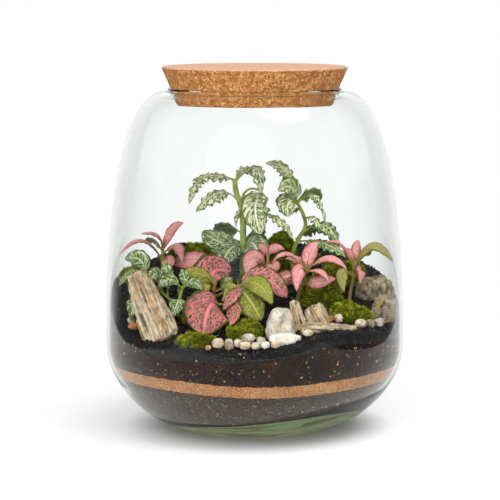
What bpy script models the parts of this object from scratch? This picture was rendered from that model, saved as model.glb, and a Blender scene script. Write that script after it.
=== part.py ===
# A closed glass terrarium: a round jar with a cork, four poured layers, stones, moss and nerve plants.
# Sizes below are in millimetres; the model is in metres, +Z up, with its origin under the jar's middle.
# The front of the planting faces -Y.
import bpy
import bmesh
import math
from mathutils import Euler, Vector, noise

for old in list(bpy.data.objects):
    bpy.data.objects.remove(old, do_unlink=True)

MM = 0.001
GAP = 0.35
WALL_GAP = 0.9
FLOOR_GAP = 0.8
MERGE = 0.00002

# The jar: a flat foot, a wide round belly, and a shoulder that turns in to a narrow flared lip.
JAR_SEGMENTS = 32
CORNER_STEPS = 7
SHOULDER_STEPS = 9
FOOT_RADIUS = 52.0
FOOT_BORE = 66.0
BELLY_RADIUS = 125.0
BELLY_HEIGHT = 69.4
BELLY_POWER = 1.78
SHOULDER_TOP = 282.5
SHOULDER_POWER = 2.17
SHOULDER_ROUND = 0.392
NECK_RADIUS = 71.0
LIP_RADIUS = 72.7
RIM_HEIGHT = 285.0
WALL = 2.6
BASE_THICKNESS = 11.0
LIP_BORE = 70.5
NECK_BORE = 68.8
LIP_CHAMFER = 0.5
LIP_EDGE = 1.3

CORK_SEGMENTS = 36
CORK_TOP_RADIUS = 77.4
CORK_BOTTOM_RADIUS = 64.8
CORK_HEIGHT = 31.0
CORK_TOP = 303.0
CORK_EDGE = 1.6

# The planting: a slope from the front glass up to the back, with four low swells and dips.
GROUND_FRONT = 81.0
GROUND_RISE = 62.0
GROUND_REACH = 240.0
GROUND_POWER = 1.15
SWELLS = [(62, -100, 10.5, 38), (-104, -60, -5, 35), (-122, 12, 9, 32), (122, -28, -11, 36)]
GRIT_DEPTH = 9.0
SAND_TOP = 58.0
SAND_FLOOR = 47.9
SAND_TOP_WAVE = 1.2
SAND_FLOOR_WAVE = 1.3

# The plants: how deep a stem stands, the leaves' gauge, and how many ripples run along a waved leaf.
ROOT_DEPTH = 4.5
HOLE_LENGTH = 40.0
LEAF_THICKNESS = 0.7
STALK_WIDTH = 2.2
WIDE_LEAF = 20
LEAF_RIPPLES = 15
WIDEST_SHIFT = 0.85

# The stones' and moss's lumps, how far a cushion's rim sinks, and the height that loose stones fall from.
ROCK_LUMP_SCALE = 1.7
MOSS_LUMPS = 0.22
MOSS_LUMP_SCALE = 1.9
MOSS_SINK = 3.0
DROP_HEIGHT = 30

garden = bpy.data.collections.new("closed_terrarium")
bpy.context.scene.collection.children.link(garden)
cutters = bpy.data.collections.new("cutters")
bpy.context.scene.collection.children.link(cutters)


# Plain tools of the bench: material, object and the Boolean steps

def material(name, colour, roughness, metallic=0.0, see_through=0.0):
    made = bpy.data.materials.get(name)
    if made:
        return made
    made = bpy.data.materials.new(name)
    made.use_nodes = True
    shader = made.node_tree.nodes["Principled BSDF"]
    shader.inputs["Base Color"].default_value = (*colour, 1.0)
    shader.inputs["Roughness"].default_value = roughness
    shader.inputs["Metallic"].default_value = metallic
    shader.inputs["Transmission Weight"].default_value = see_through
    return made


GLASS = material("clear_glass", (0.9, 0.96, 0.93), 0.02, see_through=1.0)
CORK = material("pressed_cork", (0.62, 0.40, 0.22), 0.9)
SUBSTRATE = material("brown_substrate", (0.10, 0.075, 0.055), 0.95)
SAND = material("orange_sand", (0.62, 0.34, 0.18), 0.95)
SOIL = material("dark_soil", (0.045, 0.028, 0.02), 0.95)
GRIT = material("black_grit", (0.02, 0.021, 0.022), 0.7)
WOOD_STONE = material("petrified_wood", (0.50, 0.40, 0.27), 0.8)
PALE_STONE = material("pale_stone", (0.68, 0.62, 0.52), 0.75)
BOULDER = material("grey_boulder", (0.33, 0.29, 0.22), 0.85)
MOSS = material("green_moss", (0.17, 0.24, 0.03), 1.0)
WHITE_VEINED = material("white_veined_leaf", (0.25, 0.42, 0.17), 0.55)
PINK_VEINED = material("pink_veined_leaf", (0.72, 0.30, 0.28), 0.55)


def add(name, mesh, finish, group=garden):
    thing = bpy.data.objects.new(name, mesh)
    group.objects.link(thing)
    mesh.materials.clear()
    mesh.materials.append(finish)
    return thing


def from_bmesh(name, shape, finish, group=garden):
    bmesh.ops.recalc_face_normals(shape, faces=shape.faces)
    mesh = bpy.data.meshes.new(name)
    shape.to_mesh(mesh)
    shape.free()
    return add(name, mesh, finish, group)


def settle_modifiers(thing):
    """Replace an object's mesh by the mesh that its modifiers make."""
    bpy.context.view_layer.update()
    seen = thing.evaluated_get(bpy.context.evaluated_depsgraph_get())
    mesh = bpy.data.meshes.new_from_object(seen)
    finish = thing.data.materials[0]
    thing.modifiers.clear()
    thing.data = mesh
    mesh.materials.clear()
    mesh.materials.append(finish)


def hide_cutter(thing):
    thing.hide_render = True
    thing.display_type = "WIRE"


def empty_cutters():
    for cutter in list(cutters.objects):
        bpy.data.objects.remove(cutter, do_unlink=True)


def boolean(thing, operation, solver="EXACT"):
    """Cut or join the cutters' collection into one object, and clear the collection."""
    step = thing.modifiers.new(operation.lower(), "BOOLEAN")
    step.operation = operation
    step.operand_type = "COLLECTION"
    step.collection = cutters
    step.solver = solver
    settle_modifiers(thing)
    empty_cutters()


# Glass jar

def wall_points(foot, foot_height, widest, neck, top):
    """One side of the glass: a rounded lower corner, then one curve up over the shoulder to the neck."""
    points = []
    for step in range(CORNER_STEPS + 1):
        angle = math.pi / 2 * step / CORNER_STEPS
        radius = foot + (widest - foot) * math.sin(angle) ** (2 / BELLY_POWER)
        height = foot_height + (BELLY_HEIGHT - foot_height) * (1 - math.cos(angle) ** (2 / BELLY_POWER))
        points.append((radius, height))
    for step in range(1, SHOULDER_STEPS + 1):
        angle = math.pi / 2 * step / SHOULDER_STEPS
        radius = neck + (widest - neck) * max(math.cos(angle), 0.0) ** (2 * SHOULDER_ROUND)
        height = BELLY_HEIGHT + (top - BELLY_HEIGHT) * math.sin(angle) ** (2 / SHOULDER_POWER)
        points.append((radius, height))
    return points


BORE = wall_points(FOOT_BORE, BASE_THICKNESS, BELLY_RADIUS - WALL, NECK_BORE, SHOULDER_TOP - WALL)


def inner_radius(height):
    """Radius of the glass's inside at a height, along the straight runs between its rings."""
    for (low_radius, low), (high_radius, high) in zip(BORE, BORE[1:]):
        if height <= high:
            share = max((height - low) / (high - low), 0.0)
            return low_radius + (high_radius - low_radius) * share
    return BORE[-1][0]


def glass_jar():
    outer = wall_points(FOOT_RADIUS, 0.0, BELLY_RADIUS, NECK_RADIUS, SHOULDER_TOP)
    lip = [(LIP_BORE, RIM_HEIGHT - LIP_EDGE), (LIP_BORE + LIP_CHAMFER, RIM_HEIGHT),
           (LIP_RADIUS - LIP_CHAMFER, RIM_HEIGHT), (LIP_RADIUS, RIM_HEIGHT - LIP_EDGE)]
    profile = [(0.0, BASE_THICKNESS)] + BORE + lip + outer[::-1] + [(0.0, 0.0)]
    mesh = bpy.data.meshes.new("glass_jar")
    mesh.from_pydata([(radius * MM, 0.0, height * MM) for radius, height in profile],
                     [(i, i + 1) for i in range(len(profile) - 1)], [])
    jar = add("glass_jar", mesh, GLASS)
    turn = jar.modifiers.new("turned", "SCREW")
    turn.steps = JAR_SEGMENTS
    turn.render_steps = JAR_SEGMENTS
    turn.use_merge_vertices = True
    turn.merge_threshold = MERGE
    turn.use_normal_calculate = True
    settle_modifiers(jar)
    shape = bmesh.new()
    shape.from_mesh(jar.data)
    bmesh.ops.recalc_face_normals(shape, faces=shape.faces)
    shape.to_mesh(jar.data)
    shape.free()
    jar.data.shade_smooth()


# Cork stopper, a tapered disc that rests in the lip

def cork_stopper():
    shape = bmesh.new()
    bmesh.ops.create_cone(shape, cap_ends=True, segments=CORK_SEGMENTS,
                          radius1=CORK_BOTTOM_RADIUS * MM, radius2=CORK_TOP_RADIUS * MM,
                          depth=CORK_HEIGHT * MM)
    bmesh.ops.translate(shape, vec=(0, 0, (CORK_TOP - CORK_HEIGHT / 2) * MM), verts=shape.verts)
    cork = from_bmesh("cork_stopper", shape, CORK)
    edge = cork.modifiers.new("worn_edge", "BEVEL")
    edge.width = CORK_EDGE * MM
    edge.segments = 1
    edge.limit_method = "ANGLE"
    edge.angle_limit = math.radians(50)
    settle_modifiers(cork)
    cork.data.shade_smooth()


# The poured layers

def ground(x, y):
    """Height of the planting's surface."""
    share = max((y + GROUND_REACH / 2) / GROUND_REACH, 0.0)
    height = GROUND_FRONT + GROUND_RISE * share ** GROUND_POWER
    for middle_x, middle_y, swell, reach in SWELLS:
        distance = math.hypot(x - middle_x, y - middle_y) / reach
        height += swell * math.exp(-distance * distance)
    return height


def grit_floor(x, y):
    return ground(x, y) - GRIT_DEPTH * (0.8 + 0.25 * math.sin(x / 23 + 1.0) * math.cos(y / 31))


def sand_top(x, y):
    return SAND_TOP - SAND_TOP_WAVE * math.cos((x - 8) / 27) + 0.015 * y


def sand_floor(x, y):
    return SAND_FLOOR - SAND_FLOOR_WAVE * math.cos((x - 12) / 30) + 0.01 * y


def jar_floor(x, y):
    return BASE_THICKNESS + FLOOR_GAP


def meet_glass(surface, lift, across, along):
    """Where a surface reaches the glass in one direction: its radius and height there."""
    radius = BELLY_RADIUS - WALL
    for _ in range(6):
        height = surface(across * radius, along * radius) + lift
        radius = inner_radius(height - GAP) - WALL_GAP
    return radius, height


def layer(name, floor, top, floor_rings, wall_rings, top_rings, finish):
    """A poured layer: a sphere whose rings are pressed onto a floor, the glass and a top surface."""
    rings = floor_rings + wall_rings + top_rings
    shape = bmesh.new()
    bmesh.ops.create_uvsphere(shape, u_segments=JAR_SEGMENTS, v_segments=rings, radius=1.0)
    for vertex in shape.verts:
        turn = math.atan2(vertex.co.y, vertex.co.x)
        ring = round((math.pi - math.acos(max(-1.0, min(1.0, vertex.co.z)))) / math.pi * rings)
        across, along = math.cos(turn), math.sin(turn)
        low_radius, low = meet_glass(floor, GAP, across, along)
        high_radius, high = meet_glass(top, 0.0, across, along)
        if ring <= floor_rings:
            radius = low_radius * ring / floor_rings
            height = floor(across * radius, along * radius) + GAP
        elif ring < floor_rings + wall_rings:
            height = low + (high - low) * (ring - floor_rings) / wall_rings
            radius = inner_radius(height) - WALL_GAP
        else:
            radius = high_radius * (rings - ring) / top_rings
            height = top(across * radius, along * radius)
        vertex.co = Vector((across * radius, along * radius, height)) * MM
    bmesh.ops.triangulate(shape, faces=shape.faces)
    return from_bmesh(name, shape, finish)


# Stones

def rock(name, middle, half, turn, finish, cuts=3, square=2.6, rough=0.1, grain=1.0, taper=0.0, seed=0,
         grow=0.0, group=garden):
    """A cube rounded towards an ellipsoid and roughened; grain below 1 draws the relief out lengthwise."""
    shape = bmesh.new()
    bmesh.ops.create_cube(shape, size=2.0)
    bmesh.ops.subdivide_edges(shape, edges=shape.edges, cuts=cuts, use_grid_fill=True)
    spin = Euler([math.radians(angle) for angle in turn]).to_matrix()
    for vertex in shape.verts:
        at = vertex.co.copy()
        length = sum(abs(c) ** square for c in at) ** (1 / square)
        at = at / length
        spot = Vector((at.x, at.y, at.z * grain)) * ROCK_LUMP_SCALE + Vector((3.1, 1.7, 2.3)) * seed
        swell = 1.0 + rough * noise.noise(spot) * 2.0
        thin = 1.0 - taper * (at.z + 1) / 2
        place = Vector((at.x * (half[0] + grow) * swell * thin, at.y * (half[1] + grow) * swell,
                        at.z * (half[2] + grow) * (1 + (swell - 1) * 0.5)))
        vertex.co = (spin @ place + Vector(middle)) * MM
    bmesh.ops.triangulate(shape, faces=shape.faces)
    return from_bmesh(name, shape, finish, group)


SET_STONES = [
    dict(name="wood_slab_left", middle=(-85, -68, 111.5), half=(15.5, 6.5, 31), turn=(-20, -30, -14),
         square=6, rough=0.07, grain=0.2, taper=0.5, seed=3, finish=WOOD_STONE),
    dict(name="smooth_stone", middle=(20.5, -85, 99.5), half=(12.8, 7.5, 13.5), turn=(-14, 6, 4), square=3.4,
         cuts=2, rough=0.07, taper=0.3, seed=5, finish=PALE_STONE),
    dict(name="wood_stone_tall", middle=(35, -72, 103), half=(5.4, 5.0, 13.5), turn=(-16, -14, 0), square=5,
         cuts=2, rough=0.1, grain=0.3, taper=0.3, seed=8, finish=WOOD_STONE),
    dict(name="wood_stone_low", middle=(50.5, -66, 102.5), half=(8.6, 5.4, 9.5), turn=(-20, -24, 0), square=5,
         cuts=2, rough=0.1, grain=0.3, taper=0.12, seed=11, finish=WOOD_STONE),
    dict(name="wood_stone_flat", middle=(59, -86, 94), half=(7.0, 7.2, 22), turn=(0, 93, 14),
         square=4.5, cuts=2, rough=0.1, grain=0.3, taper=0.25, seed=14, finish=WOOD_STONE),
    dict(name="white_cobble", middle=(24, -103.5, 90), half=(13, 5.6, 5.4), turn=(0, 2, 3), square=2.8,
         cuts=2, rough=0.07, seed=17, finish=PALE_STONE),
    dict(name="boulder_back", middle=(101.5, 11, 113), half=(16.5, 12, 12), turn=(0, -6, 10), square=2.7,
         rough=0.09, seed=20, finish=BOULDER),
    dict(name="boulder_right", middle=(107, -21, 100.5), half=(10.5, 10, 13), turn=(-8, 20, -8),
         square=3.2, rough=0.09, grain=0.5, seed=23, finish=BOULDER),
]

# Loose stones: name, place on the ground, half length, half depth, half height, turn about Z, finish
LOOSE_STONES = [
    ("chip_by_cobble", (42, -101.5), (3.8, 3.2, 2.8), 20, PALE_STONE),
    ("stone_right_a", (85, -71), (4.6, 3.8, 3.4), 10, PALE_STONE),
    ("stone_right_b", (93.5, -64.5), (3.8, 3.4, 3.2), 50, BOULDER),
    ("stone_right_c", (101, -54), (4.0, 3.4, 3.6), 80, PALE_STONE),
    ("orange_chip", (61.5, -56.5), (3.6, 2.4, 2.4), 15, WOOD_STONE),
    ("light_chip", (68, -63), (3.2, 2.6, 3.8), 30, WOOD_STONE),
    ("stone_left_a", (-98, -58), (4.2, 3.0, 3.0), 25, WOOD_STONE),
    ("stone_left_b", (-100.5, -47), (3.2, 2.8, 2.7), 70, WOOD_STONE),
    ("pebble_01", (-29, -107), (4.4, 3.8, 4.0), 10, PALE_STONE),
    ("pebble_02", (-20.6, -103.5), (3.2, 3.0, 3.0), 40, PALE_STONE),
    ("pebble_03", (-13.4, -106), (3.5, 3.0, 3.3), 60, PALE_STONE),
    ("pebble_04", (-5.4, -99.5), (5.4, 4.2, 4.2), 0, PALE_STONE),
    ("pebble_05", (-7.6, -111.4), (4.2, 3.4, 3.1), 5, PALE_STONE),
    ("pebble_06", (0.6, -113.2), (3.6, 3.0, 3.0), 45, PALE_STONE),
    ("pebble_07", (4.6, -104.6), (4.2, 3.4, 3.6), 80, PALE_STONE),
    ("pebble_08", (8.3, -112.8), (3.4, 2.9, 2.9), 20, PALE_STONE),
    ("pebble_09", (16.2, -114), (3.4, 2.7, 2.8), 30, PALE_STONE),
    ("pebble_10", (-20.4, -112.4), (3.8, 3.2, 3.0), 15, BOULDER),
    ("pebble_11", (-36.6, -111.4), (2.3, 2.0, 2.0), 0, WOOD_STONE),
]


def drop(thing, grounds):
    """Lower a loose piece straight down until it is one gap above what lies under it."""
    fall = 1.0
    for vertex in thing.data.vertices:
        for below in grounds:
            hit, where, _, _ = below.ray_cast(vertex.co, Vector((0, 0, -1)))
            if hit:
                fall = min(fall, vertex.co.z - where.z)
    for vertex in thing.data.vertices:
        vertex.co.z -= fall - 2 * GAP * MM


# Moss

# Cushions: name, middle, half width, half depth, height, seed
CUSHIONS = [
    ("moss_left", (-102, 18), 14, 15, 12, 1),
    ("moss_back", (-48, 86), 22, 11, 10, 2),
    ("moss_ball", (21, 64), 17, 14, 30, 3),
    ("moss_centre", (2, 20), 16, 13, 20, 4),
    ("moss_behind_stones", (56, -10), 19, 17, 20, 5),
    ("moss_front", (-8, -78), 16, 14, 10, 6),
    ("moss_front_left", (-46, -96), 16, 10, 8, 7),
    ("moss_dark", (-46, -48), 14, 10, 11, 8),
    ("moss_right", (80, -45), 20, 15, 14, 9),
    ("moss_back_right", (76, 42), 20, 17, 13, 10),
]


def cushion(name, middle, half_width, half_depth, height, seed, turf):
    """A domed cushion whose underside is trimmed to the ground below it."""
    shape = bmesh.new()
    bmesh.ops.create_uvsphere(shape, u_segments=12, v_segments=6, radius=1.0)
    for vertex in shape.verts:
        at = vertex.co.copy()
        swell = 1.0 + MOSS_LUMPS * noise.noise(at * MOSS_LUMP_SCALE + Vector((seed, 0, 0)))
        x = middle[0] + at.x * half_width * swell
        y = middle[1] + at.y * half_depth * swell
        lift = height * max(at.z, 0.0) ** 0.8 * swell if at.z > 0 else MOSS_SINK * at.z
        vertex.co = Vector((x, y, ground(x, y) + lift)) * MM
    pad = from_bmesh(name, shape, MOSS)
    cut = turf.copy()
    cut.data = turf.data.copy()
    cutters.objects.link(cut)
    for vertex in cut.data.vertices:
        vertex.co.z += GAP * MM
    hide_cutter(cut)
    boolean(pad, "DIFFERENCE")
    return pad


# Nerve plants

UP = (0.0, -0.35, 1.0)
FRONT = (0.0, -1.0, 0.45)
LEFT = (-0.8, -0.7, 0.5)
RIGHT = (0.8, -0.7, 0.5)
BACK = (0.0, 0.8, 0.6)


def blade(base, bend, tip, width, facing, stalk=0.14, droop=0.3, wave=0.0, fullness=0.8, seed=0):
    """A leaf: a grid bent along base-bend-tip, narrow at the stalk, widest below the middle, pointed."""
    along, across = (5, 2) if width < WIDE_LEAF else (6, 4)
    shape = bmesh.new()
    bmesh.ops.create_grid(shape, x_segments=along, y_segments=across, size=1.0)
    base, bend, tip = Vector(base), Vector(bend), Vector(tip)
    for vertex in shape.verts:
        t = (vertex.co.x + 1) / 2
        v = vertex.co.y
        spine = base * (1 - t) ** 2 + bend * 2 * t * (1 - t) + tip * t * t
        run = ((bend - base) * (1 - t) + (tip - bend) * t).normalized()
        side = run.cross(Vector(facing)).normalized()
        lift = side.cross(run)
        grown = max((t - stalk) / (1 - stalk), 0.0)
        half = width / 2 * math.sin(math.pi * grown ** WIDEST_SHIFT) ** fullness
        if t < 0.99:
            half = max(half, STALK_WIDTH / 2)
        ripple = wave * math.sin(t * LEAF_RIPPLES + seed * 2.1 + (1.3 if v > 0 else 0.0)) * abs(v)
        vertex.co = (spine + side * v * half + lift * (ripple - droop * half * v * v)) * MM
    bmesh.ops.remove_doubles(shape, verts=shape.verts, dist=MERGE)
    bmesh.ops.triangulate(shape, faces=shape.faces)
    leaf = from_bmesh("leaf", shape, WHITE_VEINED, cutters)
    thick = leaf.modifiers.new("thickness", "SOLIDIFY")
    thick.thickness = LEAF_THICKNESS * MM
    thick.offset = 0.0
    thick.use_even_offset = False
    settle_modifiers(leaf)
    return leaf


def stem(name, points, radius, finish, group):
    """A round stem: a bevelled curve through its points, made a mesh with its caps welded."""
    curve = bpy.data.curves.new(name, "CURVE")
    curve.dimensions = "3D"
    curve.bevel_depth = radius * MM
    curve.bevel_resolution = 1
    curve.use_fill_caps = True
    line = curve.splines.new("POLY")
    line.points.add(len(points) - 1)
    for knot, point in zip(line.points, points):
        knot.co = (*(Vector(point) * MM), 1.0)
    path = bpy.data.objects.new(name, curve)
    group.objects.link(path)
    bpy.context.view_layer.update()
    mesh = bpy.data.meshes.new_from_object(path.evaluated_get(bpy.context.evaluated_depsgraph_get()))
    bpy.data.objects.remove(path, do_unlink=True)
    shape = bmesh.new()
    shape.from_mesh(mesh)
    bmesh.ops.remove_doubles(shape, verts=shape.verts, dist=MERGE)
    return from_bmesh(name, shape, finish, group)


# Each plant: the stems (points, radius) and the leaves (base, bend, tip, width, facing, extras)
PLANTS = {
    "fittonia_white_tall": dict(finish=WHITE_VEINED, stems=[
        ([(-10, 38, 0), (-10, 37, 146), (-10, 35, 170), (-12, 34, 184), (-16, 33, 196), (-17, 33, 206)], 2.8),
        ([(-9, 37.5, 140), (1, 38, 162), (6, 36, 177), (11, 34, 190)], 1.7),
        ([(-12, 34, 184), (-7, 33, 196), (1, 33, 197.5), (11, 34, 189)], 1.1),
    ], leaves=[
        ((-17, 33, 204), (-30, 27, 215), (-53, 22, 206), 15, UP, {}),
        ((-12, 34, 184), (-27, 27, 209), (-50, 20, 179), 19, UP, dict(stalk=0.3)),
        ((-17, 34, 205), (-52, 44, 218), (-56, 38, 184), 11, UP, dict(stalk=0.3)),
        ((-17, 34, 204), (-10, 48, 219), (0, 56, 213), 11, UP, {}),
        ((-16, 32, 204), (7, 24, 234), (5, 20, 194), 17, (0.3, -0.4, 1.0), dict(stalk=0.2)),
        ((10, 34, 188), (-6, 20, 196), (5, 12, 161), 25, FRONT, dict(stalk=0.08, fullness=0.5, wave=0.8)),
        ((6, 36, 177), (26, 28, 174), (33, 23, 155), 10, RIGHT, dict(stalk=0.12)),
        ((-11, 35, 178), (-17, 33, 180), (-16, 30, 165), 6, LEFT, {}),
        ((-10, 36, 150), (-22, 26, 146), (-45, 20, 162), 24, FRONT, dict(stalk=0.08, fullness=0.6)),
        ((-9, 36, 150), (3, 20, 158), (2, 6, 138), 26, FRONT, dict(stalk=0.08, fullness=0.6)),
        ((-11, 36, 148), (-22, 18, 154), (-28, 6, 134), 20, FRONT, dict(stalk=0.08, fullness=0.6)),
        ((-10, 37, 150), (0, 56, 166), (6, 72, 152), 18, BACK, {}),
        ((-10, 36, 158), (-26, 52, 170), (-34, 66, 154), 18, BACK, {}),
    ]),
    "fittonia_white_right": dict(finish=WHITE_VEINED, stems=[
        ([(34, 54, 0), (34, 53, 142), (39, 51, 154), (44, 50, 164), (42, 49, 174), (36, 48, 186)], 1.9),
    ], leaves=[
        ((36, 48, 184), (32, 46, 222), (9, 40, 219), 12, (0.5, -1.0, 0.5), dict(stalk=0.06)),
        ((36, 48, 184), (35, 36, 207), (20, 30, 196), 18, FRONT, dict(stalk=0.06)),
        ((37, 48, 183), (27, 36, 194), (28, 30, 174), 22, FRONT, dict(stalk=0.06, fullness=0.6)),
        ((37, 48, 184), (56, 46, 203), (61, 42, 167), 8, RIGHT, dict(stalk=0.25, wave=0.8)),
        ((43, 49, 170), (54, 42, 178), (56, 36, 159), 10, RIGHT, dict(stalk=0.1)),
        ((40, 51, 156), (64, 42, 180), (72, 34, 147), 17, UP, dict(stalk=0.14)),
        ((37, 52, 150), (62, 34, 156), (78, 22, 140), 15, UP, dict(stalk=0.14)),
        ((36, 49, 184), (50, 60, 200), (58, 72, 184), 16, BACK, dict(stalk=0.1)),
        ((36, 53, 152), (54, 68, 168), (62, 80, 154), 17, BACK, dict(stalk=0.14)),
    ]),
    "fittonia_white_left": dict(finish=WHITE_VEINED, stems=[
        ([(-63, -36, 0), (-63, -36, 108), (-61, -37, 116), (-59, -38, 124)], 1.6),
        ([(-63, -36, 106), (-78, -34, 120), (-90, -34, 133)], 1.2),
        ([(-63, -36, 103), (-84, -40, 106), (-99, -46, 110)], 1.2),
    ], leaves=[
        ((-89, -34, 132), (-91, -34, 152), (-106, -38, 146), 17, FRONT, dict(stalk=0.1)),
        ((-89, -34, 131), (-104, -30, 144), (-111, -33, 123), 12, UP, {}),
        ((-98, -46, 109), (-97, -52, 120), (-101, -52, 98), 13, FRONT, dict(stalk=0.1)),
        ((-76, -34, 119), (-80, -40, 144), (-86, -46, 128), 13, FRONT, {}),
        ((-72, -35, 114), (-70, -30, 138), (-76, -26, 142), 11, FRONT, {}),
        ((-60, -38, 122), (-70, -44, 138), (-78, -50, 124), 12, FRONT, {}),
        ((-59, -38, 122), (-56, -38, 134), (-61, -34, 137), 9, FRONT, {}),
        ((-59, -38, 122), (-50, -44, 133), (-43, -47, 122), 10, FRONT, {}),
        ((-62, -37, 110), (-60, -56, 122), (-67, -62, 101), 15, FRONT, dict(stalk=0.14)),
        ((-62, -35, 116), (-64, -20, 130), (-72, -10, 126), 12, BACK, {}),
    ]),
    "fittonia_pink_left": dict(finish=PINK_VEINED, stems=[
        ([(-77, 18, 0), (-77, 18, 126), (-78, 18, 136), (-78, 18, 148)], 1.7),
    ], leaves=[
        ((-78, 18, 145), (-74, 18, 170), (-60, 15, 170), 10, (-0.6, -0.8, 0.4), dict(stalk=0.05)),
        ((-78, 18, 145), (-76, 12, 167), (-96, 6, 162), 10, UP, dict(stalk=0.05)),
        ((-78, 18, 136), (-93, 12, 172), (-114, 2, 145), 7, UP, dict(stalk=0.1)),
        ((-78, 17, 143), (-62, 8, 164), (-61, 2, 138), 13, (0.3, -0.6, 0.9), dict(stalk=0.1)),
        ((-78, 16, 138), (-68, 4, 146), (-78, -6, 130), 13, FRONT, dict(stalk=0.1)),
        ((-77, 18, 130), (-52, 8, 150), (-27, 2, 132), 19.5, (0.1, -0.9, 0.7), dict(stalk=0.14)),
        ((-78, 19, 144), (-86, 32, 160), (-94, 42, 150), 11, BACK, {}),
        ((-77, 20, 138), (-68, 36, 154), (-58, 46, 146), 13, BACK, {}),
    ]),
    "fittonia_pink_front": dict(finish=PINK_VEINED, stems=[
        ([(-35, -22, 0), (-35, -22, 110), (-34, -24, 118), (-32, -26, 126)], 1.7),
        ([(-35, -22, 106), (-32, -40, 109), (-28, -54, 111)], 1.3),
        ([(-35, -23, 112), (-22, -38, 120), (-12, -46, 126)], 1.3),
    ], leaves=[
        ((-33, -25, 124), (-40, -20, 140), (-20, -11, 132), 36, FRONT,
         dict(stalk=0.04, fullness=0.45, wave=0.8)),
        ((-33, -25, 123), (-48, -24, 140), (-62, -26, 129), 12, FRONT, dict(stalk=0.08)),
        ((-29, -52, 111), (-39, -72, 120), (-41, -83, 91), 42, FRONT,
         dict(stalk=0.05, fullness=0.5, wave=1.8)),
        ((-28, -52, 111), (-12, -68, 114), (-20, -78, 97), 15, (-0.4, -1.0, 0.5), dict(stalk=0.08)),
        ((-12, -46, 125), (7, -54, 144), (26, -60, 118), 22, FRONT,
         dict(stalk=0.05, fullness=0.55, wave=0.8)),
        ((-12, -46, 125), (4, -62, 138), (14, -68, 113), 17, FRONT, dict(stalk=0.06, fullness=0.7)),
        ((-13, -46, 124), (-15, -62, 126), (-26, -66, 108), 13, (-0.5, -1.0, 0.3), dict(stalk=0.08)),
        ((-34, -25, 118), (-46, -36, 134), (-38, -46, 117), 12, FRONT, {}),
        ((-34, -25, 117), (-10, -38, 130), (-27, -44, 112), 12, FRONT, dict(stalk=0.2)),
        ((-14, -44, 124), (-6, -62, 122), (5, -68, 100), 25, (0.2, -1.0, 0.4),
         dict(stalk=0.06, fullness=0.55)),
    ]),
    "fittonia_pink_centre": dict(finish=PINK_VEINED, stems=[
        ([(11, -4, 0), (11, -4, 122), (11, -4, 144)], 1.4),
    ], leaves=[
        ((11, -4, 134), (-3, -12, 156), (-7, -20, 130), 17, FRONT, dict(stalk=0.1)),
        ((11, -4, 142), (9, -6, 154), (3, -6, 154), 8, FRONT, {}),
        ((11, -4, 142), (14, -4, 156), (25, -3, 150), 9, FRONT, {}),
        ((11, -5, 132), (22, -15, 145), (7, -24, 130), 12, FRONT, dict(stalk=0.1)),
        ((11, -3, 136), (18, 8, 148), (24, 14, 142), 11, BACK, {}),
    ]),
    "fittonia_pink_rosette": dict(finish=PINK_VEINED, stems=[
        ([(34, -29, 0), (34, -29, 106), (38, -32, 122), (43, -36, 139)], 1.7),
    ], leaves=[
        ((43, -36, 137), (43, -37, 154), (52, -34, 160), 13, FRONT, dict(stalk=0.04, fullness=0.7)),
        ((42, -36, 137), (28, -42, 162), (15, -49, 146), 9, UP, dict(stalk=0.06)),
        ((42, -37, 136), (34, -52, 148), (34, -57, 122), 13, FRONT, dict(stalk=0.06)),
        ((43, -36, 136), (60, -44, 160), (75, -48, 139), 13, UP, dict(stalk=0.1)),
        ((43, -37, 135), (54, -48, 144), (60, -54, 130), 8, UP, dict(stalk=0.06)),
        ((42, -36, 134), (32, -46, 138), (21, -50, 131), 7, UP, dict(stalk=0.1)),
        ((38, -33, 124), (48, -42, 128), (66, -50, 132), 12, FRONT, dict(stalk=0.2)),
        ((37, -32, 120), (26, -36, 142), (17, -43, 120), 14, FRONT, dict(stalk=0.1)),
        ((43, -35, 137), (34, -28, 152), (25, -22, 144), 12, UP, dict(stalk=0.06)),
        ((43, -35, 137), (48, -22, 150), (56, -12, 146), 12, BACK, dict(stalk=0.06)),
    ]),
    "fittonia_pink_far": dict(finish=PINK_VEINED, stems=[
        ([(80, -6, 0), (80, -6, 112), (82, -7, 124), (84, -8, 140)], 1.7),
    ], leaves=[
        ((84, -8, 137), (98, -11, 172), (115, -16, 141), 16, UP, dict(stalk=0.05)),
        ((83, -8, 132), (76, -14, 166), (57, -19, 157), 8, UP, dict(stalk=0.1)),
        ((84, -8, 138), (79, -9, 150), (74, -10, 151), 7, FRONT, {}),
        ((84, -8, 138), (84, -5, 152), (87, -2, 158), 8, FRONT, {}),
        ((82, -8, 128), (68, -18, 140), (74, -27, 117), 11, FRONT, dict(stalk=0.1)),
        ((82, -8, 126), (94, -14, 143), (87, -20, 123), 12, RIGHT, dict(stalk=0.1)),
        ((83, -7, 134), (92, 8, 150), (98, 20, 142), 12, BACK, {}),
    ]),
}


def plant(name, finish, stems, leaves):
    """Join a plant's stems and leaves into one body that stands in its hole."""
    foot_x, foot_y, _ = stems[0][0][0]
    first = [(foot_x, foot_y, ground(foot_x, foot_y) - GRIT_DEPTH - ROOT_DEPTH)] + stems[0][0][1:]
    body = stem(name, first, stems[0][1], finish, garden)
    for points, radius in stems[1:]:
        stem("stem", points, radius, finish, cutters)
    for number, (base, bend, tip, width, facing, extras) in enumerate(leaves):
        blade(base, bend, tip, width, facing, seed=number, **extras)
    boolean(body, "UNION", "MANIFOLD")


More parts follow.
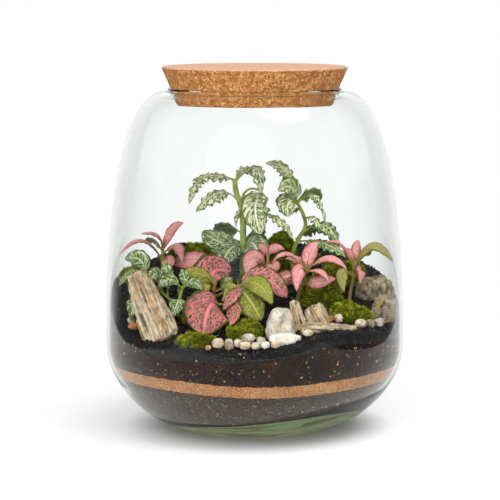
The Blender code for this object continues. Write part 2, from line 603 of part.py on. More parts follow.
def build():
    glass_jar()
    cork_stopper()
    layer("lower_substrate", jar_floor, lambda x, y: sand_floor(x, y) - GAP, 1, 4, 2, SUBSTRATE)
    layer("sand_band", sand_floor, lambda x, y: sand_top(x, y) - GAP, 2, 1, 2, SAND)
    soil = layer("potting_soil", sand_top, lambda x, y: grit_floor(x, y) - GAP, 2, 2, 5, SOIL)
    grit = layer("black_grit", lambda x, y: grit_floor(x, y) + 2 * GAP, ground, 5, 1, 5, GRIT)

    pads = [cushion(name, middle, width, depth, height, seed, grit)
            for name, middle, width, depth, height, seed in CUSHIONS]

    for stone in SET_STONES:
        rock(**stone)
    for bed in (soil, grit):
        for stone in SET_STONES:
            hide_cutter(rock(**{**stone, "name": "pocket", "grow": 2 * GAP, "group": cutters}))
        for kit in PLANTS.values():
            foot_x, foot_y, _ = kit["stems"][0][0][0]
            low = ground(foot_x, foot_y) - GRIT_DEPTH - ROOT_DEPTH - GAP
            hole = [(foot_x, foot_y, low), (foot_x, foot_y, low + HOLE_LENGTH)]
            hide_cutter(stem("hole", hole, kit["stems"][0][1] + 2 * GAP, kit["finish"], cutters))
        boolean(bed, "DIFFERENCE")

    for number, (name, (x, y), half, turn, finish) in enumerate(LOOSE_STONES):
        stone = rock(name, (x, y, ground(x, y) + DROP_HEIGHT), half, (0, 0, turn), finish, cuts=1, square=2.4,
                     rough=0.12, seed=number + 30)
        drop(stone, [grit] + pads)

    for name, kit in PLANTS.items():
        plant(name, kit["finish"], kit["stems"], kit["leaves"])


build()
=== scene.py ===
# A closed glass terrarium, dressed in the order it is planted: the jar and its cork, the poured layers,
# the stones, the moss, the nerve plants, and last the studio. Sizes are in millimetres.
import math
import random
import bpy
from mathutils import Euler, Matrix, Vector, noise


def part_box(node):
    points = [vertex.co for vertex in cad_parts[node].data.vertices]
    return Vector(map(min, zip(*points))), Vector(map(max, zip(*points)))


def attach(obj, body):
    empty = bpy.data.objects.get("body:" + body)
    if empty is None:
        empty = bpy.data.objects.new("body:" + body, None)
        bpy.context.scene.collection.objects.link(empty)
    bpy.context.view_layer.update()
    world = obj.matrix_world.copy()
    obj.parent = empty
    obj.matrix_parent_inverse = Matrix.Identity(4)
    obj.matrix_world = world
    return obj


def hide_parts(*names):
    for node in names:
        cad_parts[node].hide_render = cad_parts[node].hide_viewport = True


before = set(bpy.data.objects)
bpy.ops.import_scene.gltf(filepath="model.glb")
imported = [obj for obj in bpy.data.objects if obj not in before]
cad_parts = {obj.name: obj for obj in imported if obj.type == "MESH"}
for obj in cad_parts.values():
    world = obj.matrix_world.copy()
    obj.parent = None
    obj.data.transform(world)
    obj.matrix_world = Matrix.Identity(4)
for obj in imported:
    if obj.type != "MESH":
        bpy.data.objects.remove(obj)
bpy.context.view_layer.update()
bpy.ops.object.select_all(action="DESELECT")


# Glass jar
# Clear glass, 2.6 mm in the wall with a heavy greenish foot and a narrow lip that turns out a little.
# It is blown in a turning mould, so it is one outline spun round, without a seam.
MM = 0.001
FOOT_RADIUS = 52.0
FOOT_BORE = 66.0
BELLY_RADIUS = 125.0
BELLY_HEIGHT = 69.4
BELLY_POWER = 1.78
SHOULDER_TOP = 282.5
SHOULDER_POWER = 2.17
SHOULDER_ROUND = 0.392
NECK_RADIUS = 71.0
NECK_BORE = 68.8
LIP_RADIUS = 72.7
LIP_BORE = 70.5
LIP_EDGE = 1.3
RIM_HEIGHT = 285.0
WALL = 2.6
BASE_THICKNESS = 11.0
FOOT_PUSH = 1.4
JAR_STEPS = 144
CORNER_STEPS = 20
SHOULDER_STEPS = 30
WELD = 0.00001
FLOOR_TIP = 0.047
FLOOR_FADE = 26.0


class Wire:
    """One socket of a material: sums on it add Math nodes, and node() adds any other node."""

    def __init__(self, tree, socket):
        self.tree = tree
        self.socket = socket

    def node(self, kind, settings, inputs, output=0):
        made = self.tree.nodes.new(kind)
        for name, value in settings.items():
            if name == "stops":
                ramp = made.color_ramp.elements
                ends = [value[0], value[-1]]
                for stop, (place, colour) in zip(list(ramp), ends):
                    stop.position = place
                    stop.color = (*colour, 1.0)
                for place, colour in value[1:-1]:
                    ramp.new(place).color = (*colour, 1.0)
            else:
                setattr(made, name, value)
        for name, value in inputs.items():
            if isinstance(value, Wire):
                self.tree.links.new(value.socket, made.inputs[name])
            elif isinstance(value, tuple) and len(made.inputs[name].default_value) == 4:
                made.inputs[name].default_value = (*value, 1.0)
            else:
                made.inputs[name].default_value = value
        return Wire(self.tree, made.outputs[output])

    def maths(self, operation, first, second=0.0, clamp=False):
        return self.node("ShaderNodeMath", {"operation": operation, "use_clamp": clamp}, {0: first, 1: second})

    def __add__(self, other):
        return self.maths("ADD", self, other)

    def __radd__(self, other):
        return self.maths("ADD", other, self)

    def __sub__(self, other):
        return self.maths("SUBTRACT", self, other)

    def __rsub__(self, other):
        return self.maths("SUBTRACT", other, self)

    def __mul__(self, other):
        return self.maths("MULTIPLY", self, other)

    def __rmul__(self, other):
        return self.maths("MULTIPLY", other, self)

    def __pow__(self, other):
        return self.maths("POWER", self, other)

    def clouds(self, scale, detail=2.0):
        return self.node("ShaderNodeTexNoise", {}, {"Vector": self, "Scale": scale, "Detail": detail})

    def cells(self, scale, feature="F1", output="Distance"):
        return self.node("ShaderNodeTexVoronoi", {"feature": feature}, {"Vector": self, "Scale": scale}, output)

    def between(self, low, high):
        """0 below low, 1 above high, and a smooth step from one to the other."""
        return self.node("ShaderNodeMapRange", {"interpolation_type": "SMOOTHSTEP"},
                         {"Value": self, "From Min": low, "From Max": high})

    def ramp(self, *stops):
        return self.node("ShaderNodeValToRGB", {"stops": stops}, {"Fac": self})

    def tint(self, first, second):
        """The first colour where this is 0, the second where it is 1."""
        return self.node("ShaderNodeMix", {"data_type": "RGBA"}, {0: self, 6: first, 7: second}, 2)

    def stretched(self, scale, turn=(0.0, 0.0, 0.0)):
        return self.node("ShaderNodeMapping", {}, {"Vector": self, "Scale": scale, "Rotation": turn})

    def apart(self, axis):
        return self.node("ShaderNodeSeparateXYZ", {}, {"Vector": self}, axis)


def new_finish(name, **constants):
    """A material with its Principled shader's constant sockets set, and the piece's own coordinates."""
    made = bpy.data.materials.new(name)
    made.use_nodes = True
    shader = made.node_tree.nodes["Principled BSDF"]
    for socket, value in constants.items():
        shader.inputs[socket.replace("_", " ")].default_value = value
    start = Wire(made.node_tree, None)
    return made, start, start.node("ShaderNodeTexCoord", {}, {}, "Object")


def feed(made, **wires):
    """Link what varies over the surface to the Principled shader; Height goes through a Bump node."""
    shader = made.node_tree.nodes["Principled BSDF"]
    for socket, wire in wires.items():
        if socket == "Height":
            height, depth = wire
            wire = height.node("ShaderNodeBump", {}, {"Height": height, "Strength": 1.0, "Distance": depth * MM})
            socket = "Normal"
        made.node_tree.links.new(wire.socket, shader.inputs[socket.replace("_", " ")])


def hold(piece):
    """Select one piece alone and make it the active one."""
    bpy.ops.object.select_all(action="DESELECT")
    piece.select_set(True)
    bpy.context.view_layer.objects.active = piece


def apply_modifiers(piece):
    hold(piece)
    for step in list(piece.modifiers):
        bpy.ops.object.modifier_apply(modifier=step.name)


def turned(name, outline, steps):
    """Spin a half outline of radius and height round the Z axis into one closed piece."""
    mesh = bpy.data.meshes.new(name)
    mesh.from_pydata([(radius * MM, 0.0, height * MM) for radius, height in outline],
                     [(i, i + 1) for i in range(len(outline) - 1)], [])
    piece = bpy.data.objects.new(name, mesh)
    bpy.context.scene.collection.objects.link(piece)
    hold(piece)
    bpy.ops.object.mode_set(mode="EDIT")
    bpy.ops.mesh.select_all(action="SELECT")
    bpy.ops.mesh.spin(steps=steps, angle=2 * math.pi, center=(0, 0, 0), axis=(0, 0, 1))
    bpy.ops.mesh.select_all(action="SELECT")
    bpy.ops.mesh.remove_doubles(threshold=WELD)
    bpy.ops.mesh.normals_make_consistent(inside=False)
    bpy.ops.object.mode_set(mode="OBJECT")
    bpy.ops.object.shade_smooth()
    return piece


def give(piece, slot, *finishes, stands_for=None):
    """Dress a piece, let it ride on the one body, and hide the CAD node that it stands for."""
    piece.data.materials.clear()
    for finish in finishes:
        piece.data.materials.append(finish)
    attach(piece, "root")
    if stands_for:
        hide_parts(stands_for)


def wall_points(foot, foot_height, widest, neck, top):
    """One side of the glass: a rounded lower corner, then one curve up over the shoulder to the neck."""
    points = []
    for step in range(CORNER_STEPS + 1):
        angle = math.pi / 2 * step / CORNER_STEPS
        radius = foot + (widest - foot) * math.sin(angle) ** (2 / BELLY_POWER)
        height = foot_height + (BELLY_HEIGHT - foot_height) * (1 - math.cos(angle) ** (2 / BELLY_POWER))
        points.append((radius, height))
    for step in range(1, SHOULDER_STEPS + 1):
        angle = math.pi / 2 * step / SHOULDER_STEPS
        radius = neck + (widest - neck) * max(math.cos(angle), 0.0) ** (2 * SHOULDER_ROUND)
        height = BELLY_HEIGHT + (top - BELLY_HEIGHT) * math.sin(angle) ** (2 / SHOULDER_POWER)
        points.append((radius, height))
    return points


BORE = wall_points(FOOT_BORE, BASE_THICKNESS, BELLY_RADIUS - WALL, NECK_BORE, SHOULDER_TOP - WALL)
OUTSIDE = wall_points(FOOT_RADIUS, 0.0, BELLY_RADIUS, NECK_RADIUS, SHOULDER_TOP)
FOOT = [(46.0, 0.0), (43.0, 0.5), (38.0, 1.1), (28.0, FOOT_PUSH), (0.0, FOOT_PUSH)]
LIP = [(LIP_BORE, RIM_HEIGHT - LIP_EDGE), (LIP_BORE + 0.25, RIM_HEIGHT - 0.3), (LIP_BORE + 0.8, RIM_HEIGHT),
       (LIP_RADIUS - 0.8, RIM_HEIGHT), (LIP_RADIUS - 0.25, RIM_HEIGHT - 0.3), (LIP_RADIUS, RIM_HEIGHT - LIP_EDGE)]
jar = turned("blown_glass_jar", [(0.0, BASE_THICKNESS)] + BORE + LIP + OUTSIDE[::-1] + FOOT, JAR_STEPS)


def inner_radius(height):
    """Radius of the glass's inside at a height, along the straight runs between its rings."""
    for (low_radius, low), (high_radius, high) in zip(BORE, BORE[1:]):
        if height <= high:
            share = max((height - low) / (high - low), 0.0)
            return low_radius + (high_radius - low_radius) * share
    return BORE[-1][0]


def tipped(place):
    """The glass settled thicker to one side, so its inner floor rises a little towards +X."""
    fade = 1 - (place.z / MM - BASE_THICKNESS) / FLOOR_FADE
    return place.x * FLOOR_TIP * min(max(fade, 0.0), 1.0)


for vertex in jar.data.vertices:
    away = math.hypot(vertex.co.x, vertex.co.y) / MM
    if BASE_THICKNESS - 0.01 < vertex.co.z / MM < 60 and away < inner_radius(vertex.co.z / MM) + 0.4:
        vertex.co.z += tipped(vertex.co)

glass, start, place = new_finish("clear_green_glass", Base_Color=(1, 1, 1, 1), Roughness=0.0, IOR=1.5,
                                 Transmission_Weight=1.0, Specular_Tint=(0.24, 0.24, 0.24, 1))
clear = start.node("ShaderNodeBsdfTransparent", {}, {})
lamp_ray = start.node("ShaderNodeLightPath", {}, {}, "Is Shadow Ray")
soft_ray = start.node("ShaderNodeLightPath", {}, {}, "Is Diffuse Ray")
solid = Wire(glass.node_tree, glass.node_tree.nodes["Principled BSDF"].outputs[0])
lit = start.node("ShaderNodeMixShader", {}, {0: lamp_ray, 1: solid, 2: clear})
surface = start.node("ShaderNodeMixShader", {}, {0: soft_ray, 1: lit, 2: clear})
tinted = start.node("ShaderNodeVolumeAbsorption", {}, {"Color": (0.52, 0.86, 0.60), "Density": 9.0})
ends = glass.node_tree.nodes["Material Output"]
glass.node_tree.links.new(surface.socket, ends.inputs["Surface"])
glass.node_tree.links.new(tinted.socket, ends.inputs["Volume"])
give(jar, "glass", glass, stands_for="glass_jar")


# Cork stopper
# A disc of pressed cork granules, cut to a taper and sanded, with its edge worn a little.
# The granules stand in relief round the side, and a few have fallen out and left pits.
CORK_TOP_RADIUS = 77.4
CORK_BOTTOM_RADIUS = 64.8
CORK_HEIGHT = 31.0
CORK_TOP = 303.0
CORK_EDGE = 1.4
CORK_STEPS = 360
CORK_RINGS = 46


def cork_outline():
    low = CORK_TOP - CORK_HEIGHT
    points = [((CORK_BOTTOM_RADIUS - CORK_EDGE) * step / CORK_RINGS, low) for step in range(CORK_RINGS + 1)]
    side = 30
    for step in range(side + 1):
        share = step / side
        radius = CORK_BOTTOM_RADIUS + (CORK_TOP_RADIUS - CORK_BOTTOM_RADIUS) * share
        points.append((radius, low + CORK_EDGE + (CORK_HEIGHT - 2 * CORK_EDGE) * share))
    points += [((CORK_TOP_RADIUS - CORK_EDGE) * (1 - step / CORK_RINGS), CORK_TOP)
               for step in range(CORK_RINGS + 1)]
    return points


cork = turned("pressed_cork_stopper", cork_outline(), CORK_STEPS)
normals = [vertex.normal.copy() for vertex in cork.data.vertices]
for vertex, normal in zip(cork.data.vertices, normals):
    spot = vertex.co / MM
    near = noise.voronoi(spot / 3.1)[0]
    gap = max(0.0, 1.0 - (near[1] - near[0]) / 0.2)
    pit = max(0.0, noise.noise(spot / 3.4 + Vector((40, 0, 0))) - 0.42) * 4.0
    on_side = math.hypot(spot.x, spot.y) > 60 and CORK_TOP - CORK_HEIGHT + 0.5 < spot.z < CORK_TOP - 0.5
    depth = (0.42 if on_side else 0.16) * gap + pit * (1.2 if on_side else 0.5)
    vertex.co -= normal * min(depth, 1.6) * MM

cork_finish, start, place = new_finish("cork_granules", Roughness=0.86, Specular_IOR_Level=0.25)
warped = place.node("ShaderNodeVectorMath", {"operation": "MULTIPLY_ADD"},
                    {0: place.clouds(420.0), 1: (0.0016, 0.0016, 0.0016), 2: place})
grain_tone = warped.cells(330.0, output="Color").apart("X")
fine_tone = warped.cells(900.0, output="Color").apart("Y")
seam = warped.cells(330.0, "DISTANCE_TO_EDGE").between(0.0, 0.075)
sanded_and_lit_top = place.apart("Z").between(0.3012, 0.3026)
colour = grain_tone.ramp((0.0, (0.46, 0.175, 0.050)), (0.25, (0.60, 0.245, 0.075)), (0.6, (0.70, 0.315, 0.105)),
                         (1.0, (0.82, 0.43, 0.17)))
colour = (fine_tone.between(0.80, 0.88) * 0.8).tint(colour, (0.20, 0.075, 0.025))
colour = ((1 - seam) * 0.75).tint(colour, (0.25, 0.095, 0.032))
# The top face is painted paler: partly its sanded cut, partly painted light from above.
colour = (sanded_and_lit_top * 0.72).tint(colour, (0.86, 0.56, 0.40))
feed(cork_finish, Base_Color=colour, Height=(seam * 0.5 + grain_tone * 0.3 + place.clouds(1500.0) * 0.25, 0.5))
give(cork, "cork", cork_finish, stands_for="cork_stopper")


# Poured layers
# Four layers, filled one on the other and pressed against the glass: brown substrate, orange sand, dark
# potting soil, and a coarse black grit that makes the slope the plants stand in.
GAP = 0.35
PRESSED = -0.2
GROUND_FRONT = 81.0
GROUND_RISE = 62.0
GROUND_REACH = 240.0
GROUND_POWER = 1.15
SWELLS = [(62, -100, 10.5, 38), (-104, -60, -5, 35), (-122, 12, 9, 32), (122, -28, -11, 36)]
GRIT_DEPTH = 9.0
SAND_TOP = 58.0
SAND_FLOOR = 47.9


def ground(x, y):
    """Height of the planting's surface."""
    share = max((y + GROUND_REACH / 2) / GROUND_REACH, 0.0)
    height = GROUND_FRONT + GROUND_RISE * share ** GROUND_POWER
    for middle_x, middle_y, swell, reach in SWELLS:
        distance = math.hypot(x - middle_x, y - middle_y) / reach
        height += swell * math.exp(-distance * distance)
    return height


def grit_floor(x, y):
    return ground(x, y) - GRIT_DEPTH * (0.8 + 0.25 * math.sin(x / 23 + 1.0) * math.cos(y / 31))


def rough_grit_floor(x, y):
    return grit_floor(x, y) + 1.3 * noise.fractal(Vector((x, y, 0)) / 7.0, 1.0, 2.0, 3)


def sand_top(x, y):
    wave = SAND_TOP - 1.2 * math.cos((x - 8) / 27) + 0.015 * y
    return wave + 0.7 * noise.fractal(Vector((x, y, 5)) / 5.0, 0.8, 2.0, 4)


def sand_floor(x, y):
    wave = SAND_FLOOR - 1.3 * math.cos((x - 12) / 30) + 0.01 * y
    return wave + 0.8 * noise.fractal(Vector((x, y, 15)) / 5.0, 0.8, 2.0, 4)


def jar_floor(x, y):
    return BASE_THICKNESS - 0.15


def meet_glass(surface, lift, across, along):
    """Where a surface reaches the glass in one direction: its radius and height there."""
    radius = BELLY_RADIUS - WALL
    for _ in range(6):
        height = surface(across * radius, along * radius) + lift
        radius = inner_radius(height) + PRESSED
    return radius, height


def layer(name, floor, top, floor_rings, wall_rings, top_rings, roughness, segments):
    """A poured layer: a sphere whose rings are pressed onto a floor, the glass and a top surface."""
    rings = floor_rings + wall_rings + top_rings
    bpy.ops.mesh.primitive_uv_sphere_add(segments=segments, ring_count=rings, radius=1.0)
    piece = bpy.context.object
    piece.name = name
    edges = {}
    for vertex in piece.data.vertices:
        turn = math.atan2(vertex.co.y, vertex.co.x)
        ring = round((math.pi - math.acos(max(-1.0, min(1.0, vertex.co.z)))) / math.pi * rings)
        across, along = math.cos(turn), math.sin(turn)
        key = round(turn * 10000)
        if key not in edges:
            edges[key] = meet_glass(floor, 0.0, across, along) + meet_glass(top, 0.0, across, along)
        low_radius, low, high_radius, high = edges[key]
        if ring <= floor_rings:
            radius = low_radius * ring / floor_rings
            height = floor(across * radius, along * radius)
        elif ring < floor_rings + wall_rings:
            height = low + (high - low) * (ring - floor_rings) / wall_rings
            radius = inner_radius(height) + PRESSED
        else:
            radius = high_radius * (rings - ring) / top_rings
            height = top(across * radius, along * radius)
            height += roughness * noise.fractal(Vector((across, along, 0)) * radius / 3.0, 1.0, 2.0, 3)
        vertex.co = Vector((across * radius, along * radius, height)) * MM
        vertex.co.z += tipped(vertex.co)
    bpy.ops.object.shade_smooth()
    return piece


def crumbs(name, stops, fleck, fleck_share, scale, roughness=0.95):
    """Granular earth: crumbs of several tones with painted shade in the gaps between them, and scattered pale
    flecks.
    """
    made, start, place = new_finish(name, Roughness=roughness, Specular_IOR_Level=0.2)
    crumb = place.cells(scale, output="Color").apart("X")
    gap = place.cells(scale, "DISTANCE_TO_EDGE").between(0.0, 0.25)
    patch = place.clouds(scale / 14, 4.0)
    colour = (crumb * 0.6 + patch * 0.75 - 0.18).ramp(*stops)
    chosen = place.cells(scale * 0.62, output="Color").apart("Y").between(fleck_share, fleck_share + 0.01)
    near = 1 - place.cells(scale * 0.62).between(0.22, 0.38)
    colour = (chosen * near).tint(colour, fleck)
    # Painted shade: the gaps between crumbs are darkened towards near black.
    colour = (1 - gap * 0.6 - 0.4).tint(colour, (0.004, 0.003, 0.002))
    feed(made, Base_Color=colour, Height=(gap + crumb * 0.6 + place.clouds(scale * 2.2), 0.5))
    return made


substrate_finish = crumbs("brown_substrate", ((0.0, (0.035, 0.025, 0.018)), (0.5, (0.085, 0.060, 0.042)),
                          (1.0, (0.19, 0.14, 0.10))), (0.50, 0.37, 0.24), 0.80, 640.0)
sand_finish = crumbs("orange_sand", ((0.0, (0.48, 0.17, 0.055)), (0.5, (0.80, 0.36, 0.14)),
                     (1.0, (0.95, 0.56, 0.27))), (0.95, 0.70, 0.44), 0.74, 900.0)
soil_finish = crumbs("dark_potting_soil", ((0.0, (0.004, 0.0016, 0.0008)), (0.45, (0.014, 0.0055, 0.0026)),
                     (1.0, (0.085, 0.034, 0.016))), (0.45, 0.23, 0.10), 0.90, 560.0)
grit_finish = crumbs("black_grit", ((0.0, (0.003, 0.003, 0.003)), (0.5, (0.009, 0.009, 0.010)),
                     (1.0, (0.040, 0.040, 0.043))), (0.07, 0.07, 0.07), 0.93, 420.0, 0.5)

# Painted light: seen from below through the thick base, the substrate's underside glows, streaked and greenish,
# standing in for the light and reflections in the glass foot.
under = Wire(substrate_finish.node_tree, None).node("ShaderNodeTexCoord", {}, {}, "Object")
streak = under.stretched((0.16, 1.0, 1.0)).clouds(130.0, 5.0)
painted_base_glow = streak.ramp((0.40, (0.075, 0.030, 0.018)), (0.46, (0.21, 0.19, 0.10)), (0.58, (0.17, 0.24, 0.12)))
lowest = 1 - (under.apart("Z") - under.apart("X") * FLOOR_TIP).between(0.0110, 0.0118)
# The glow is painted light on the lowest skin of the substrate, not its own colour.
feed(substrate_finish, Emission_Color=lowest.tint((0, 0, 0), painted_base_glow))
substrate_finish.node_tree.nodes["Principled BSDF"].inputs["Emission Strength"].default_value = 1.0

layers = [("substrate_layer", jar_floor, sand_floor, 12, 24, 4, 0.0, 420, "substrate", substrate_finish,
           "lower_substrate"),
          ("sand_layer", sand_floor, sand_top, 4, 8, 4, 0.0, 420, "sand", sand_finish, "sand_band"),
          ("soil_layer", sand_top, rough_grit_floor, 4, 12, 10, 0.0, 420, "soil", soil_finish, "potting_soil"),
          ("grit_layer", rough_grit_floor, ground, 10, 8, 60, 0.9, 240, "grit", grit_finish, "black_grit")]
for name, floor, top, floor_rings, wall_rings, top_rings, rough, segments, slot, finish, node in layers:
    give(layer(name, floor, top, floor_rings, wall_rings, top_rings, rough, segments), slot, finish,
         stands_for=node)


# Loose grains of grit
# Coarse black and brown grains that lie on the slope, tipped every way, with some pale crumbs among them.
GRAIN_COUNT = 7000
GLASS_GRAINS = 1500
PALE_CRUMBS = 260
GRAIN_HALF = (0.6, 1.6)
draw = random.Random(41)


def many(name, shape, places):
    """One mesh of many small copies of a shape, each with its own turn, sizes, place and tone."""
    corners, faces, tones = [], [], []
    for middle, spin, sizes, tone in places:
        first = len(corners)
        for corner in shape[0]:
            corners.append((spin @ Vector([c * s for c, s in zip(corner, sizes)]) + middle) * MM)
            tones.append(tone)
        faces += [tuple(first + i for i in face) for face in shape[1]]
    mesh = bpy.data.meshes.new(name)
    mesh.from_pydata(corners, [], faces)
    mark = mesh.attributes.new("tone", "FLOAT", "POINT")
    mark.data.foreach_set("value", tones)
    piece = bpy.data.objects.new(name, mesh)
    bpy.context.scene.collection.objects.link(piece)
    return piece


def grain_shape():
    """A chipped grain with a dozen corners."""
    bpy.ops.mesh.primitive_ico_sphere_add(subdivisions=1, radius=1.0)
    made = bpy.context.object
    corners = [corner.co * (1 + 0.35 * noise.noise(corner.co * 2.3)) for corner in made.data.vertices]
    faces = [tuple(face.vertices) for face in made.data.polygons]
    bpy.data.objects.remove(made, do_unlink=True)
    return corners, faces


GRAIN = grain_shape()
places = []
while len(places) < GRAIN_COUNT:
    turn = draw.uniform(0, 2 * math.pi)
    away = 120 * math.sqrt(draw.random())
    x, y = away * math.cos(turn), away * math.sin(turn)
    half = draw.uniform(*GRAIN_HALF)
    height = ground(x, y) + half * 0.25
    if away + half * 1.3 < inner_radius(height):
        spin = Euler([draw.uniform(0, 6.28) for _ in range(3)]).to_matrix()
        sizes = [half * draw.uniform(0.6, 1.2) for _ in range(3)]
        places.append((Vector((x, y, height)), spin, sizes, draw.random()))
for _ in range(GLASS_GRAINS):
    turn = draw.uniform(0, 2 * math.pi)
    away = BELLY_RADIUS - WALL
    x, y = away * math.cos(turn), away * math.sin(turn)
    height = draw.uniform(grit_floor(x, y) + 0.5, ground(x, y) + 0.5)
    half = draw.uniform(*GRAIN_HALF)
    away = inner_radius(height) - half * 0.9
    spin = Euler([draw.uniform(0, 6.28) for _ in range(3)]).to_matrix()
    sizes = [half * draw.uniform(0.6, 1.1) for _ in range(3)]
    places.append((Vector((away * math.cos(turn), away * math.sin(turn), height)), spin, sizes, draw.random()))
grains = many("loose_grit_grains", GRAIN, places)
crumb_places = []
for _ in range(PALE_CRUMBS):
    turn = draw.uniform(0, 2 * math.pi)
    height = draw.uniform(60, 84)
    if draw.random() < 0.35:
        height = draw.uniform(18, 42)
    half = draw.uniform(0.35, 1.1)
    away = inner_radius(height) - half * 0.35
    spin = Euler([draw.uniform(0, 6.28) for _ in range(3)]).to_matrix()
    sizes = [half * draw.uniform(0.5, 1.5), half * 0.7, half * 0.6]
    spot = Vector((away * math.cos(turn), away * math.sin(turn), height))
    spot.z += tipped(spot * MM) / MM
    crumb_places.append((spot, spin, sizes, draw.random()))
crumb_pieces = many("pale_soil_crumbs", GRAIN, crumb_places)
crumb_finish, start, place = new_finish("pale_crumb", Roughness=0.85, Specular_IOR_Level=0.2)
tone = start.node("ShaderNodeAttribute", {"attribute_name": "tone"}, {}, "Fac")
feed(crumb_finish, Base_Color=tone.ramp((0.0, (0.33, 0.15, 0.07)), (0.6, (0.56, 0.38, 0.22)),
                                        (1.0, (0.74, 0.62, 0.46))), Height=(place.clouds(1500.0, 3.0), 0.3))
give(crumb_pieces, "soil", crumb_finish)

grain_finish, start, place = new_finish("loose_grit", Roughness=0.38, Specular_IOR_Level=0.5)
tone = start.node("ShaderNodeAttribute", {"attribute_name": "tone"}, {}, "Fac")
colour = tone.ramp((0.0, (0.003, 0.003, 0.0035)), (0.6, (0.009, 0.009, 0.010)), (0.88, (0.020, 0.017, 0.015)),
                   (0.97, (0.045, 0.028, 0.018)), (1.0, (0.22, 0.15, 0.09)))
colour = (place.clouds(900.0, 4.0).between(0.4, 0.7) * 0.35).tint(colour, (0.003, 0.003, 0.003))
feed(grain_finish, Base_Color=colour, Height=(place.clouds(1400.0, 3.0), 0.3))
give(grains, "grit", grain_finish)


# Stones
# Split petrified wood with its grain running lengthwise, river pebbles worn smooth, and two rough boulders.
# They are set by hand into the grit, and each is one stone.
ROCK_LUMP_SCALE = 1.7
SLAB_CUTS = 52
STONE_CUTS = 32
SET_STONES = [
    dict(node="wood_slab_left", middle=(-85, -68, 111.5), half=(15.5, 6.5, 31), turn=(-20, -30, -14),
         square=6, rough=0.07, grain=0.2, taper=0.5, seed=3, kind="wood"),
    dict(node="smooth_stone", middle=(20.5, -85, 99.5), half=(12.8, 7.5, 13.5), turn=(-14, 6, 4), square=3.4,
         rough=0.07, taper=0.3, seed=5, kind="beige"),
    dict(node="wood_stone_tall", middle=(35, -72, 103), half=(5.4, 5.0, 13.5), turn=(-16, -14, 0), square=5,
         rough=0.1, grain=0.3, taper=0.3, seed=8, kind="wood"),
    dict(node="wood_stone_low", middle=(50.5, -66, 102.5), half=(8.6, 5.4, 9.5), turn=(-20, -24, 0), square=5,
         rough=0.1, grain=0.3, taper=0.12, seed=11, kind="wood"),
    dict(node="wood_stone_flat", middle=(59, -86, 94), half=(7.0, 7.2, 22), turn=(0, 93, 14),
         square=4.5, rough=0.1, grain=0.3, taper=0.25, seed=14, kind="wood"),
    dict(node="white_cobble", middle=(24, -103.5, 90), half=(13, 5.6, 5.4), turn=(0, 2, 3), square=2.8,
         rough=0.07, seed=17, kind="white"),
    dict(node="boulder_back", middle=(101.5, 11, 113), half=(16.5, 12, 12), turn=(0, -6, 10), square=2.7,
         rough=0.09, seed=20, kind="boulder"),
    dict(node="boulder_right", middle=(107, -21, 100.5), half=(10.5, 10, 13), turn=(-8, 20, -8),
         square=3.2, rough=0.09, grain=0.5, seed=23, kind="boulder"),
]
# Loose stones: node, place on the ground, half length, depth and height, turn about Z, kind
LOOSE_STONES = [
    ("chip_by_cobble", (42, -101.5), (3.8, 3.2, 2.8), 20, "cream"),
    ("stone_right_a", (85, -71), (4.6, 3.8, 3.4), 10, "cream"),
    ("stone_right_b", (93.5, -64.5), (3.8, 3.4, 3.2), 50, "boulder"),
    ("stone_right_c", (101, -54), (4.0, 3.4, 3.6), 80, "beige"),
    ("orange_chip", (61.5, -56.5), (3.6, 2.4, 2.4), 15, "orange"),
    ("light_chip", (68, -63), (3.2, 2.6, 3.8), 30, "cream"),
    ("stone_left_a", (-98, -58), (4.2, 3.0, 3.0), 25, "orange"),
    ("stone_left_b", (-100.5, -47), (3.2, 2.8, 2.7), 70, "beige"),
    ("pebble_01", (-29, -107), (4.4, 3.8, 4.0), 10, "cream"),
    ("pebble_02", (-20.6, -103.5), (3.2, 3.0, 3.0), 40, "beige"),
    ("pebble_03", (-13.4, -106), (3.5, 3.0, 3.3), 60, "cream"),
    ("pebble_04", (-5.4, -99.5), (5.4, 4.2, 4.2), 0, "beige"),
    ("pebble_05", (-7.6, -111.4), (4.2, 3.4, 3.1), 5, "cream"),
    ("pebble_06", (0.6, -113.2), (3.6, 3.0, 3.0), 45, "cream"),
    ("pebble_07", (4.6, -104.6), (4.2, 3.4, 3.6), 80, "beige"),
    ("pebble_08", (8.3, -112.8), (3.4, 2.9, 2.9), 20, "white"),
    ("pebble_09", (16.2, -114), (3.4, 2.7, 2.8), 30, "cream"),
    ("pebble_10", (-20.4, -112.4), (3.8, 3.2, 3.0), 15, "boulder"),
    ("pebble_11", (-36.6, -111.4), (2.3, 2.0, 2.0), 0, "orange"),
]


def relief(kind, at, half, seed):
    """Fine relief of a stone's skin, in millimetres, at a point of its own frame."""
    spot = Vector((at.x * half[0], at.y * half[1], at.z * half[2])) + Vector((seed * 9.0, 0, 0))
    if kind == "wood":
        drawn = Vector((spot.x, spot.y, spot.z * 0.055))
        ridge = abs(noise.fractal(drawn / 1.7, 0.8, 2.1, 4))
        split = max(0.0, 0.16 - abs(noise.noise(drawn / 3.6 + Vector((0, 30, 0))))) * 9.0
        return 0.7 - ridge * 2.1 - split * 1.1 + 0.7 * noise.fractal(spot / 4.0, 1.0, 2.0, 4)
    if kind == "boulder":
        return noise.fractal(spot / 5.0, 0.9, 2.2, 5) * 1.1 - max(0.0, noise.noise(spot / 1.7) - 0.2) * 1.0
    return noise.fractal(spot / 4.0, 1.0, 2.0, 3) * 0.22


